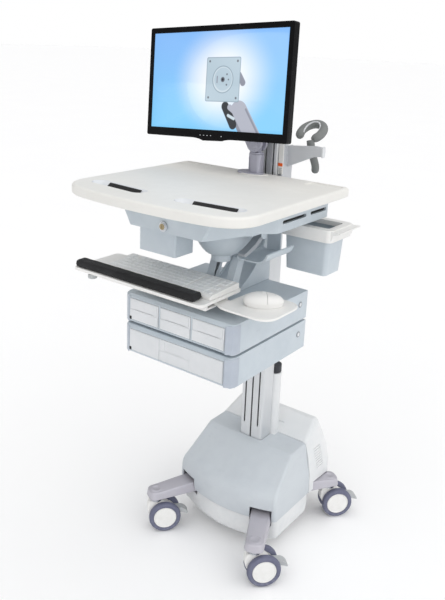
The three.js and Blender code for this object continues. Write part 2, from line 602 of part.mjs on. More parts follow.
const cradleBoss = rod([112, scannerArm.y + scannerArm.depth + gap, 1216], [112, 84, 1216], 12, 16);
add('scanner_cradle', join(sweep(cradleRing, 12, 18, 8), sweep(cradleTail, 11, 8, 8), cradleBoss), greyRubber);

// ---- monitor arm --------------------------------------------------------
const footShape = new THREE.Shape();
footShape.absarc(armFoot.x, armFoot.y - 4, 26, -Math.PI / 2, Math.PI / 2);
footShape.absarc(armFoot.x - 28, armFoot.y - 4, 26, Math.PI / 2, 1.5 * Math.PI);
const footPlate = prism(footShape, 'z', worktop.top + gap, worktop.top + 5, 10);
const post = roundBox(armFoot.x - 19, armFoot.x + 19, armFoot.y - 16, armFoot.y + 16, worktop.top + 4, 1204, 9);
const postSlot = box(armFoot.x - 15, armFoot.x - 7, armFoot.y - 18, armFoot.y - 12, 1156, 1196);
add('arm_post', join(footPlate, cut(post, postSlot)), castMetal);

const turretTop = roundBox(armFoot.x - 18, armFoot.x + 18, armFoot.y - 16, armFoot.y + 16, 1204 + gap, 1209.5, 9);
const shoulder = rod([armFoot.x, armFoot.y - 8, armLink.z], [armFoot.x, armFoot.y + 8, armLink.z], 16);
add('arm_turret', join(turretTop, shoulder, box(armFoot.x - 12, armFoot.x + 12, armFoot.y - 8, armFoot.y + 8, 1209,
  armLink.z)), castMetal);

const elbow = { x: armFoot.x + armLink.dx, z: armLink.z + armLink.dz };
const linkHeading = Math.atan2(armLink.dz, armLink.dx);
function linkSolid() {
  const shape = new THREE.Shape();
  shape.absarc(armFoot.x, armLink.z, armLink.radius, linkHeading + Math.PI / 2, linkHeading + 1.5 * Math.PI);
  shape.absarc(elbow.x, elbow.z, armLink.radius - 2, linkHeading - Math.PI / 2, linkHeading + Math.PI / 2);
  const body = prism(shape, 'y', armFoot.y - armLink.halfWidth, armFoot.y + armLink.halfWidth, 10);
  const fork = (x, z) => rod([x, armFoot.y - 9, z], [x, armFoot.y + 9, z], armLink.radius + 3);
  return cut(body, fork(armFoot.x, armLink.z), fork(elbow.x, elbow.z));
}
add('arm_link', linkSolid(), castMetal);

const headAt = { x: display.x, y: -22, z: display.z };
const headPost = rod([elbow.x, armFoot.y - 8, elbow.z], [elbow.x, armFoot.y + 8, elbow.z], 17);
const headBlock = prism([[elbow.x - 14, elbow.z], [elbow.x + 10, elbow.z], [elbow.x, 1392], [headAt.x - 16, 1392],
  [headAt.x - 16, 1380]], 'y', armFoot.y - 8, armFoot.y + 8);
add('arm_head', join(headPost, headBlock), castMetal);

const tiltYoke = join(rod([headAt.x, armFoot.y, 1392 + gap], [headAt.x, armFoot.y, 1396], 13),
  box(headAt.x - 12, headAt.x + 12, armFoot.y - 9, armFoot.y + 9, 1395, 1414),
  rod([headAt.x - 16, headAt.y, 1404], [headAt.x + 16, headAt.y, 1404], 7, 20));
add('tilt_head', tiltYoke, castMetal);

// The display group turns and tilts about the tilt pivot.
const screen = new THREE.Group();
screen.position.set(headAt.x, headAt.y, 1404);
screen.rotation.set(THREE.MathUtils.degToRad(-display.tilt), 0, THREE.MathUtils.degToRad(display.yaw), 'ZXY');
cart.add(screen);

const plateBack = -16;
const vesaPlate = join(
  cut(prism(roundRect(-60, 60, -60, 60, 6), 'y', plateBack - 3, plateBack),
    ...[[-50, -50], [50, -50], [-50, 50], [50, 50]].map(([x, z]) => rod([x, -30, z], [x, 0, z], 2.5, 10))),
  box(18, 24, plateBack - 1, 3.4, -10, 10),
  box(-24, -18, plateBack - 1, 3.4, -10, 10));
const pinBore = rod([-40, 0, 0], [40, 0, 0], 0.8, 8);
add('vesa_plate', cut(vesaPlate, pinBore), aluminium, screen);

const screenFront = plateBack - 3 - gap - 44;
const halfWide = display.width / 2;
const monitor = new THREE.Group();
monitor.position.z = -10;
monitor.rotation.y = THREE.MathUtils.degToRad(display.roll);
screen.add(monitor);
const rim = { top: 150, bottom: -158 };
const backShell = join(
  prism(roundRect(-halfWide, halfWide, rim.bottom, rim.top, 6), 'y', screenFront + 5, screenFront + 22),
  prism(roundRect(-110, 110, -72, 72, 18), 'y', screenFront + 20, plateBack - 3 - gap));
add('monitor_back', backShell, glossBlack, monitor);
const bezelOutline = roundRect(-halfWide, halfWide, rim.bottom, rim.top, 6);
const chin = prism([[-60, rim.bottom + 2], [-30, rim.bottom - 7], [30, rim.bottom - 7], [60, rim.bottom + 2]], 'y',
  screenFront, screenFront + 5 - gap);
const bezel = cut(join(prism(bezelOutline, 'y', screenFront, screenFront + 5 - gap), chin),
  box(-239, 239, screenFront - 1, screenFront + 6, -134.5, 134.5));
add('monitor_bezel', bezel, glossBlack, monitor);
add('display_panel', box(-239 + gap, 239 - gap, screenFront + 1.5, screenFront + 5 - gap, -134.5 + gap, 134.5 - gap),
  screenBlue, monitor);

export default cart;
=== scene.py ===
# Medication cart: the looks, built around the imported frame.
import math

import bmesh
import bpy
from mathutils import Matrix, Vector


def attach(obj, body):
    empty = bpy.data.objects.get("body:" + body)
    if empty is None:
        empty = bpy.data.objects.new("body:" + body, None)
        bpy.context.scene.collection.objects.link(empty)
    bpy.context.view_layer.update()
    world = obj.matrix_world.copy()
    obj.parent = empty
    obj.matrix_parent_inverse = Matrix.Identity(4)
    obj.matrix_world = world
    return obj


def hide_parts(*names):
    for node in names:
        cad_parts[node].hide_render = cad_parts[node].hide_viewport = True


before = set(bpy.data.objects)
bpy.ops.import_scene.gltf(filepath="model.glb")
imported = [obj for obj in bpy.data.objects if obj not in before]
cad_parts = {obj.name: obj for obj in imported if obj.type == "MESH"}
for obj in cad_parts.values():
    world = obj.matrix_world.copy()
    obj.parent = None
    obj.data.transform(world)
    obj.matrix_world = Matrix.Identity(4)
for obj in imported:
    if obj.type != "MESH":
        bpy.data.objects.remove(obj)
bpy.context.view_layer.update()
print("frame loaded")

# Shapes are written in millimetres from the centre of the four casters, then moved into the frame.
toFrame = Matrix.Translation((0.03768, 0.11229, 0)) @ Matrix.Scale(0.001, 4)
corners = {
    "front_left": (-188, -210, -110, -50),  # caster x and y, then the x and y where its leg starts
    "front_right": (188, -210, 110, -50),
    "rear_right": (199, 210, 115, 90),
    "rear_left": (-199, 210, -115, 90),
}
casterTurn = math.radians(47)
screenPlace = Matrix.Translation((-107, -22, 1404)) @ Matrix.Rotation(math.radians(-3.4), 4, "Z") @ \
    Matrix.Rotation(math.radians(-6), 4, "X")
monitorPlace = screenPlace @ Matrix.Translation((0, 0, -10)) @ Matrix.Rotation(math.radians(-3.5), 4, "Y")


# Materials
class Wire:  # one output of a shader tree, on which sums can be written

    def __init__(self, socket):
        self.socket = socket

    def math(self, operation, other=None, flip=False):
        tree = self.socket.id_data
        node = tree.nodes.new("ShaderNodeMath")
        node.operation = operation
        values = [self] if other is None else [other, self] if flip else [self, other]
        for slot, value in zip(node.inputs, values):
            feed(tree, slot, value)
        return Wire(node.outputs[0])

    def __add__(self, other):
        return self.math("ADD", other)

    def __radd__(self, other):
        return self.math("ADD", other, True)

    def __sub__(self, other):
        return self.math("SUBTRACT", other)

    def __rsub__(self, other):
        return self.math("SUBTRACT", other, True)

    def __mul__(self, other):
        return self.math("MULTIPLY", other)

    def __rmul__(self, other):
        return self.math("MULTIPLY", other, True)

    def __truediv__(self, other):
        return self.math("DIVIDE", other)

    def __rtruediv__(self, other):
        return self.math("DIVIDE", other, True)

    def __abs__(self):
        return self.math("ABSOLUTE")


def feed(tree, socket, value):
    if isinstance(value, Wire):
        tree.links.new(value.socket, socket)
    else:
        socket.default_value = value


class Shading:  # a shader tree and the nodes that are put in it

    def __init__(self, tree, ending):
        self.tree = tree
        self.shader = tree.nodes[ending]

    def node(self, kind, settings=None, sockets=None, output=0):
        made = self.tree.nodes.new(kind)
        for name, value in (settings or {}).items():
            setattr(made, name, value)
        for name, value in (sockets or {}).items():
            feed(self.tree, made.inputs[name], value)
        return Wire(made.outputs[output])

    def step(self, value, low, high, start=0.0, end=1.0):
        return self.node("ShaderNodeMapRange", {"interpolation_type": "SMOOTHSTEP"},
                         {"Value": value, "From Min": low, "From Max": high, "To Min": start, "To Max": end})

    def give(self, socket, value):
        feed(self.tree, self.shader.inputs[socket], value)


class Finish(Shading):  # a material being put together round one Principled shader

    def __init__(self, name, **fixed):
        self.material = bpy.data.materials.new(name)
        self.material.use_nodes = True
        super().__init__(self.material.node_tree, "Principled BSDF")
        for socket, value in fixed.items():
            self.give(socket.replace("_", " "), value)
        self.place = self.node("ShaderNodeTexCoord", output="Object")

    def noise(self, scale, detail=2, where=None, rough=0.5):
        return self.node("ShaderNodeTexNoise", {}, {"Vector": where or self.place, "Scale": scale,
                                                    "Detail": detail,
                                                    "Roughness": rough})

    def stretch(self, x, y, z):
        return self.node("ShaderNodeVectorMath", {"operation": "MULTIPLY"}, {0: self.place, 1: (x, y, z)})

    def blend(self, first, second, factor):
        first, second = [(*c, 1) if isinstance(c, tuple) else c for c in (first, second)]
        return self.node("ShaderNodeMix", {"data_type": "RGBA"}, {"Factor": factor, 6: first, 7: second}, 2)

    def bump(self, height, strength, distance):
        return self.node("ShaderNodeBump", {}, {"Height": height, "Strength": strength, "Distance": distance})


def tone(code):  # an sRGB hex colour as linear values
    parts = [int(code[i:i + 2], 16) / 255 for i in (0, 2, 4)]
    return tuple(c / 12.92 if c <= 0.04045 else ((c + 0.055) / 1.055) ** 2.4 for c in parts)


# Moulded or painted surfaces: a cloudy tint, a fine texture in the skin, rubbed patches and some dust low down.
moulded = {
    "white": dict(color="efeeec", shade="e8e8e6", rub="d8d8d4", rough=0.42, grain=900, depth=0.1, coat=0.08),
    "worktopWhite": dict(color="e9e8e4", shade="e5e4e0", rub="dad8d3", rough=0.5, grain=650, depth=0.14),
    "hoodGrey": dict(color="c9cfd4", shade="c3c9cf", rub="b3b9bf", rough=0.46, grain=800, depth=0.14,
                     coat=0.06),
    "panWhite": dict(color="e4e5e6", shade="dcdfe1", rub="cdd0d2", rough=0.45, grain=800, depth=0.12,
                     coat=0.05),
    "blueGrey": dict(color="c6cfd6", shade="bec8d0", rub="adb8c0", rough=0.44, grain=850, depth=0.12,
                     coat=0.06),
    "capGrey": dict(color="b7bfca", shade="aeb6c2", rub="9fa8b4", rough=0.42, grain=850, depth=0.12,
                    coat=0.06),
    "paleGrey": dict(color="dfe1e4", shade="d7dadd", rub="c9cdd1", rough=0.45, grain=850, depth=0.12,
                     coat=0.05),
    "pedalGrey": dict(color="bdc0c1", shade="b2b5b7", rub="a2a5a8", rough=0.5, grain=700, depth=0.14),
    "keyGrey": dict(color="eceded", shade="e4e6e7", rub="d4d7da", rough=0.55, grain=1200, depth=0.12),
    "darkPlastic": dict(color="2c2e35", shade="22242a", rub="42454d", rough=0.42, grain=700, depth=0.2),
    # shadeBlack is painted shade: the black laid in slots, vents, grip holes and the latch opening, where only
    # shade falls
    "shadeBlack": dict(color="0d0e11", shade="090a0c", rub="191b1f", rough=0.6, grain=600, depth=0.2),
    "greyRubber": dict(color="808382", shade="737675", rub="969897", rough=0.7, grain=500, depth=0.3),
    "orange": dict(color="ee6212", shade="dc560c", rub="f08644", rough=0.5, grain=900, depth=0.1),
}


def mouldedFinish(name):
    look = moulded[name]
    f = Finish(name, Coat_Weight=look.get("coat", 0), Coat_Roughness=0.25, IOR=1.48)
    cloud = f.noise(5, 4)
    mottle = f.noise(38, 3)
    scuffs = f.step(f.noise(26, 6, f.stretch(1, 1, 3.5), 0.7), 0.58, 0.72)
    height = f.node("ShaderNodeSeparateXYZ", sockets={"Vector": f.place}, output=2)
    dust = f.step(height, 0.16, 0.0, 0, 0.35) * f.step(f.noise(60, 4), 0.35, 0.7)
    body = f.blend(tone(look["color"]), tone(look["shade"]), f.step(cloud * 0.7 + mottle * 0.3, 0.35, 0.68))
    worn = f.blend(body, tone(look["rub"]), scuffs * 0.22 + dust)
    f.give("Base Color", worn)
    f.give("Roughness", look["rough"] + (mottle - 0.5) * 0.12 + scuffs * 0.08 + dust * 0.3)
    skin = f.noise(look["grain"], 2) * 0.7 + f.noise(look["grain"] * 2.7, 1) * 0.3
    f.give("Normal", f.bump(skin + scuffs * 0.25, look["depth"], 0.0004))
    return f.material


# Metals: brushed along one axis, or cast and painted with a faint sparkle.
metals = {
    "castMetal": dict(color="c2c0c8", shade="b6b4bd", rough=0.42, metallic=0.3, brush=None, depth=0.25),
    "armMetal": dict(color="b9b9c6", shade="a5a5b4", rough=0.38, metallic=0.4, brush=None, depth=0.2),
    "aluminium": dict(color="dfe1e3", shade="c9cccf", rough=0.34, metallic=0.6, brush=(900, 900, 6),
                      depth=0.12),
    "bracketMetal": dict(color="d3d5d9", shade="c3c6cb", rough=0.4, metallic=0.3, brush=(14, 700, 700),
                         depth=0.1),
    "leverMetal": dict(color="a3a8ae", shade="8b9096", rough=0.35, metallic=0.5, brush=(30, 400, 400),
                       depth=0.14),
    "steel": dict(color="c9ccd0", shade="a9adb3", rough=0.24, metallic=0.9, brush=(500, 20, 500), depth=0.12),
    "chrome": dict(color="d8dadd", shade="b9bdc2", rough=0.12, metallic=1.0, brush=(40, 40, 600), depth=0.06),
    "brass": dict(color="b8a988", shade="8f8266", rough=0.28, metallic=0.9, brush=(700, 40, 700), depth=0.12),
}


def metalFinish(name):
    look = metals[name]
    f = Finish(name, IOR=1.5)
    cloud = f.noise(9, 4)
    grain = f.noise(1, 3, f.stretch(*look["brush"])) if look["brush"] else f.noise(420, 3)
    marks = f.step(f.noise(34, 6, f.stretch(1, 1, 4), 0.72), 0.6, 0.75)
    f.give("Base Color", f.blend(tone(look["color"]), tone(look["shade"]),
                                 cloud * 0.45 + grain * 0.4 + marks * 0.3))
    f.give("Metallic", look["metallic"] - marks * 0.12)
    f.give("Roughness", look["rough"] + (grain - 0.5) * 0.14 + (cloud - 0.5) * 0.1 + marks * 0.1)
    f.give("Normal", f.bump(grain + marks * 0.3, look["depth"], 0.0003))
    return f.material


tyreLook = dict(color="6f7288", shade="5a5d74", dust="9a9ba6", rough=0.62)


def tyreFinish():
    f = Finish("tyre", IOR=1.5)
    cloud = f.noise(22, 4)
    pits = f.noise(480, 3)
    height = f.node("ShaderNodeSeparateXYZ", sockets={"Vector": f.place}, output=2)
    dust = f.step(height, 0.05, 0.0, 0.1, 0.5) * f.step(f.noise(90, 5), 0.4, 0.7)
    f.give("Base Color", f.blend(f.blend(tone(tyreLook["color"]), tone(tyreLook["shade"]), cloud),
                                 tone(tyreLook["dust"]), dust))
    f.give("Roughness", tyreLook["rough"] + dust * 0.3 + (pits - 0.5) * 0.15)
    f.give("Normal", f.bump(pits + cloud * 0.4, 0.3, 0.0005))
    return f.material


glossLook = dict(color="08080a", smear="0f1014", rough=0.2)


def glossFinish():
    f = Finish("glossBlack", Coat_Weight=0.06, Coat_Roughness=0.1, IOR=1.25)
    cloud = f.noise(14, 4)
    smear = f.step(f.noise(11, 6, f.stretch(1, 1, 2.5), 0.7), 0.45, 0.75)
    f.give("Base Color", f.blend(tone(glossLook["color"]), tone(glossLook["smear"]), smear))
    f.give("Roughness", glossLook["rough"] + smear * 0.16 + cloud * 0.05)
    f.give("Normal", f.bump(f.noise(700, 2), 0.04, 0.0002))
    return f.material


padLook = dict(color="161618", weave="232326", rough=0.85, thread=1500)


def padFinish():
    f = Finish("softBlack", Sheen_Weight=0.06, Sheen_Roughness=0.5, IOR=1.45)
    across = f.node("ShaderNodeTexWave", {"bands_direction": "X"},
                    {"Vector": f.place, "Scale": padLook["thread"] / 6,
                                                                    "Distortion": 1.2, "Detail": 2})
    along = f.node("ShaderNodeTexWave", {"bands_direction": "Y"},
                   {"Vector": f.place, "Scale": padLook["thread"] / 6,
                                                                   "Distortion": 1.2, "Detail": 2})
    weave = across * 0.5 + along * 0.5
    worn = f.step(f.noise(12, 5), 0.45, 0.75)
    f.give("Base Color", f.blend(tone(padLook["color"]), tone(padLook["weave"]), weave * 0.4 + worn * 0.4))
    f.give("Roughness", padLook["rough"] - worn * 0.15 + weave * 0.05)
    f.give("Normal", f.bump(weave + f.noise(300, 3) * 0.6, 0.35, 0.0005))
    return f.material


# The picture on the screen: a sky that glows round a mounting plate and its arm, drawn in the panel's own plane.
pictureLook = dict(top="8cc2ff", bottom="88d2ff", glow="ffffff", plate="b9ccd8", edge="8fa3b0", disc="cfdde6",
                   arm="b3b6c3", shade="8f92a0", dark="202329", bolt="6b6f78", strength=1.0, x=28, z=-6)


def pictureFinish():
    look = pictureLook
    f = Finish("display", Roughness=0.2, IOR=1.5, Coat_Weight=0.3, Coat_Roughness=0.05,
               Emission_Strength=look["strength"])
    placed = toFrame @ monitorPlace
    centre = placed @ Vector((look["x"], 0, look["z"] + 10))
    away = f.node("ShaderNodeVectorMath", {"operation": "SUBTRACT"}, {0: f.place, 1: tuple(centre)})
    across, up = [f.node("ShaderNodeVectorMath", {"operation": "DOT_PRODUCT"},
                         {0: away, 1: tuple(placed.to_3x3().col[axis].normalized())}, 1) * 1000
                  for axis in (0, 2)]

    def length(a, b):
        return (a * a + b * b).math("SQRT")

    def inside(distance, edge=1.2):  # 1 where the distance is below zero
        return f.step(distance, edge, -edge)

    def square(half, round_, x=0, z=0):
        a = (abs(across - x) - (half - round_)).math("MAXIMUM", 0)
        b = (abs(up - z) - (half - round_)).math("MAXIMUM", 0)
        return length(a, b) - round_

    def bar(x0, z0, x1, z1, width):  # distance to a thick line
        dx, dz = x1 - x0, z1 - z0
        along = (((across - x0) * dx + (up - z0) * dz) / (dx * dx + dz * dz)).math("MAXIMUM",
                                                                                   0).math("MINIMUM", 1)
        return length(across - x0 - along * dx, up - z0 - along * dz) - width

    ripple = f.noise(16, 3)
    sky = f.blend(tone(look["bottom"]), tone(look["top"]), f.step(up + ripple * 30, -130, 150))
    glow = f.step(length(across * 0.85, up), 165, 30, 0, 1)
    sky = f.blend(sky, tone(look["glow"]), glow * 0.95)
    layers = [
        (bar(56, 12, 70, -8, 9), "shade"), (bar(62, -84, 128, -176, 29), "arm"),
        (bar(36, -92, 100, -182, 5), "shade"),
        (bar(86, -78, 150, -168, 3), "shade"), (bar(14, -72, 44, -120, 13), "dark"),
        (bar(30, -74, 50, -86, 8), "arm"),
        (bar(26, -96, 46, -104, 4), "disc"), (square(60, 5), "edge"), (square(58, 4), "plate"),
        (length(across, up) - 37, "edge"), (length(across, up) - 34.5, "disc"),
        (length(across - 1, up - 1) - 31, "plate"),
        (length(across, up) - 7, "bolt"), (length(across, up) - 3.4, "dark"),
        (length(across - 14, up - 14) - 2.6, "bolt"), (length(across - 20, up) - 2.2, "bolt"),
        (length(across - 14, up + 14) - 2.6, "bolt"), (bar(-20, 8, -20, -8, 1.8), "shade"),
    ]
    layers += [(length(across - x, up - z) - 3.2, "bolt") for x in (-49, 49) for z in (-49, 49)]
    for distance, name in layers:
        sky = f.blend(sky, tone(look[name]), inside(distance))
    f.give("Emission Color", sky)
    f.give("Base Color", f.blend(tone("0c0e12"), tone("15181f"), ripple))
    f.give("Normal", f.bump(f.noise(900, 2), 0.03, 0.0002))
    return f.material


floorLook = dict(color="fefefe", shade="fbfbfc", rough=0.7)


def floorFinish():
    f = Finish("studioFloor", IOR=1.3, Specular_IOR_Level=0.1)
    cloud = f.noise(1.2, 4)
    f.give("Base Color", f.blend(tone(floorLook["color"]), tone(floorLook["shade"]), cloud))
    f.give("Roughness", floorLook["rough"] + (cloud - 0.5) * 0.1)
    return f.material


finishes = {name: mouldedFinish(name) for name in moulded}
finishes.update({name: metalFinish(name) for name in metals})
finishes.update(tyre=tyreFinish(), glossBlack=glossFinish(), softBlack=padFinish(), display=pictureFinish(),
                floor=floorFinish())
print("finishes ready:", len(finishes))


# Mesh tools, in millimetres
def arc(cx, cy, radius, start, end, count=8):  # points along an arc, angles in degrees
    return [(cx + radius * math.cos(math.radians(start + (end - start) * i / count)),
             cy + radius * math.sin(math.radians(start + (end - start) * i / count)))
            for i in range(count + 1)]


def curve(a, b, c, count=10):  # a quadratic curve without its first point
    return [tuple((1 - t) ** 2 * p + 2 * t * (1 - t) * q + t * t * r for p, q, r in zip(a, b, c))
            for t in [i / count for i in range(1, count + 1)]]


def roundRect(x0, x1, y0, y1, radius, count=6):
    return (arc(x1 - radius, y0 + radius, radius, -90, 0, count) + arc(x1 - radius, y1 - radius, radius, 0,
                                                                       90, count)
            + arc(x0 + radius, y1 - radius, radius, 90, 180, count)
            + arc(x0 + radius, y0 + radius, radius, 180, 270, count))


class Form:  # closed solids gathered in one mesh

    def __init__(self):
        self.bm = bmesh.new()

    def skin(self, rings, capped=True, looped=False):
        rows = [[self.bm.verts.new(p) for p in ring] for ring in rings]
        count = len(rows[0])
        pairs = list(zip(rows, rows[1:])) + ([(rows[-1], rows[0])] if looped else [])
        for low, high in pairs:
            for i in range(count):
                j = (i + 1) % count
                self.bm.faces.new((low[i], low[j], high[j], high[i]))
        if capped and not looped:
            self.bm.faces.new(rows[0][::-1])
            self.bm.faces.new(rows[-1])
        return self

    def prism(self, outline, axis, start, end):
        lay = {"z": lambda p, d: (p[0], p[1], d), "x": lambda p, d: (d, p[0], p[1]), "y": lambda p,
               d: (p[0], d, p[1])}
        return self.skin([[lay[axis](p, d) for p in outline] for d in (start, end)])

    def box(self, x0, x1, y0, y1, z0, z1):
        return self.prism([(x0, y0), (x1, y0), (x1, y1), (x0, y1)], "z", z0, z1)

    def spin(self, profile, centre, axis="z", sides=48):  # profile of (radius, distance along the axis)
        turn = {"z": Matrix(), "y": Matrix.Rotation(-math.pi / 2, 4, "X"),
                "x": Matrix.Rotation(math.pi / 2, 4, "Y")}
        place = Matrix.Translation(centre) @ turn[axis]
        rings = [[place @ Vector((r * math.cos(2 * math.pi * i / sides),
                                  r * math.sin(2 * math.pi * i / sides), d))
                  for i in range(sides)] for r, d in profile]
        return self.skin(rings)

    def rod(self, start, end, radius, sides=32):
        start, end = Vector(start), Vector(end)
        place = Matrix.Translation(start) @ (end - start).to_track_quat("Z", "Y").to_matrix().to_4x4()
        far = (end - start).length
        return self.skin([[place @ Vector((radius * math.cos(2 * math.pi * i / sides),
                                           radius * math.sin(2 * math.pi * i / sides), d))
                           for i in range(sides)]
                          for d in (0, far)])

    def sweep(self, points, radii, sides=20):  # a round section along a smooth path; the ends are capped flat, rounded only where the given radii shrink
        points = [Vector(p) for p in points]
        frameUp, rings = Vector((0, 0, 1)), []
        for i, p in enumerate(points):
            ahead = (points[min(i + 1, len(points) - 1)] - points[max(i - 1, 0)]).normalized()
            side = ahead.cross(frameUp)
            side = side.normalized() if side.length > 0.05 else rings[-1][0]
            frameUp = side.cross(ahead).normalized()
            rings.append((side, frameUp, p, radii[i]))
        return self.skin([[p + (side * math.cos(2 * math.pi * k / sides) + up
                                * math.sin(2 * math.pi * k / sides)) * r
                           for k in range(sides)] for side, up, p, r in rings])

    def mesh(self, name, matrix=Matrix()):
        bmesh.ops.transform(self.bm, matrix=toFrame @ matrix, verts=self.bm.verts)
        bmesh.ops.recalc_face_normals(self.bm, faces=self.bm.faces)
        data = bpy.data.meshes.new(name)
        self.bm.to_mesh(data)
        self.bm.free()
        data.shade_smooth()
        return data


def soften(item, width, segments=3, angle=32):  # rounds the sharp edges, width in millimetres
    edge = item.modifiers.new("Edges", "BEVEL")
    edge.width, edge.segments, edge.limit_method = width / 1000, segments, "ANGLE"
    edge.angle_limit = math.radians(angle)
    edge.harden_normals = True
    return item


def piece(name, form, body, finish, edge=0.0, cuts=(), place=Matrix(), stands=(), segments=3, angle=32):
    item = bpy.data.objects.new(name, form.mesh(name, place))
    bpy.context.scene.collection.objects.link(item)
    for cut in cuts:
        tool = bpy.data.objects.new(name + "_cut", cut.mesh(name + "_cut", place))
        bpy.context.scene.collection.objects.link(tool)
        step = item.modifiers.new("Cut", "BOOLEAN")
        step.operation, step.solver, step.object = "DIFFERENCE", "EXACT", tool
        applyAll(item)
        bpy.data.objects.remove(tool)
    item.data.materials.clear()
    item.data.materials.append(finishes[finish])
    item.data.shade_smooth()
    item.data.set_sharp_from_angle(angle=math.radians(angle))
    if edge:
        soften(item, edge, segments, angle)
    if cuts:  # the broad faces keep their own direction where a cut meets them
        even = item.modifiers.new("Even", "WEIGHTED_NORMAL")
        even.mode, even.weight, even.keep_sharp = "FACE_AREA", 90, True
    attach(item, body)
    if stands:
        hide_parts(*stands)
    return item


def applyAll(item):  # the mesh as its modifiers leave it
    seen = bpy.context.evaluated_depsgraph_get()
    seen.update()
    done = bpy.data.meshes.new_from_object(item.evaluated_get(seen))
    item.modifiers.clear()
    item.data = done


def keepNode(node, finish, edge=0.8, segments=2, angle=32):  # a CAD node shown as it is, with its edges eased
    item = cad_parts[node]
    if "custom_normal" in item.data.attributes:
        item.data.attributes.remove(item.data.attributes["custom_normal"])
    item.data.shade_smooth()
    item.data.materials.clear()
    item.data.materials.append(finishes[finish])
    weld = item.modifiers.new("Weld", "WELD")
    weld.merge_threshold = 1e-5
    flat = item.modifiers.new("Flatten", "DECIMATE")
    flat.decimate_type, flat.angle_limit = "DISSOLVE", math.radians(0.6)
    if edge:
        soften(item, edge, segments, angle)
    return item


# Base
baseLook = dict(notch=15, wall=3.5, cornerSteps=10, bowSteps=20)


def planRing(half, front, back, z, bow=0.0, radius=20.0):
    steps, ring = baseLook["cornerSteps"], []
    ring += arc(-half + radius, front + radius, radius, 180, 270, steps)
    for i in range(1, baseLook["bowSteps"]):
        u = -1 + 2 * i / baseLook["bowSteps"]
        ring.append((u * (half - radius), front - bow * (1 - u * u)))
    ring += arc(half - radius, front + radius, radius, 270, 360, steps)
    ring += arc(half - radius, back - radius, radius, 0, 90, steps)
    ring += arc(-half + radius, back - radius, radius, 90, 180, steps)
    return [(x, y, z) for x, y in ring]


def blunt(value):
    return math.copysign(abs(value) ** 0.62, value)


def legRing(corner, grow, z0, drop=12.0):  # one level of a leg, z falling towards the tip
    x, y, rootX, rootY = corners[corner]
    along = Vector((x - rootX, y - rootY))
    far = along.length
    along.normalize()
    outline = [(0, -34)] + [(far + 27 * blunt(math.cos(a)), 29 * blunt(math.sin(a))) for a in
                            [math.radians(-90 + 180 * i / 20) for i in range(21)]] + [(0, 34)]
    ring = []
    for u, v in outline:
        v = math.copysign(max(abs(v) + grow, 0), v) if v else 0
        u = far + (u - far) * (29 + grow) / 29 if u > far else u
        ring.append((rootX + along.x * u - along.y * v, rootY + along.y * u + along.x * v,
                     z0 - drop * min(u / far, 1) if drop else z0))
    return ring


def legForm(corner):
    return Form().skin([legRing(corner, -2.5, 113, 0), legRing(corner, 0, 115.5, 0),
                        legRing(corner, -2.5, 143),
                        legRing(corner, -3.4, 147.6), legRing(corner, -5.4, 149.8),
                        legRing(corner, -8, 150.2)])


def legSpace(corner, rise):
    return Form().skin([legRing(corner, 1.6, 100, 0), legRing(corner, 1.6, 151 + rise)])


def columnWells():  # the room that both covers leave for the column
    return [Form().prism(roundRect(-42, 42, 23, 140, 6), "z", 100, 400),
            Form().box(-56, 56, 81, 140, 100, 400)]


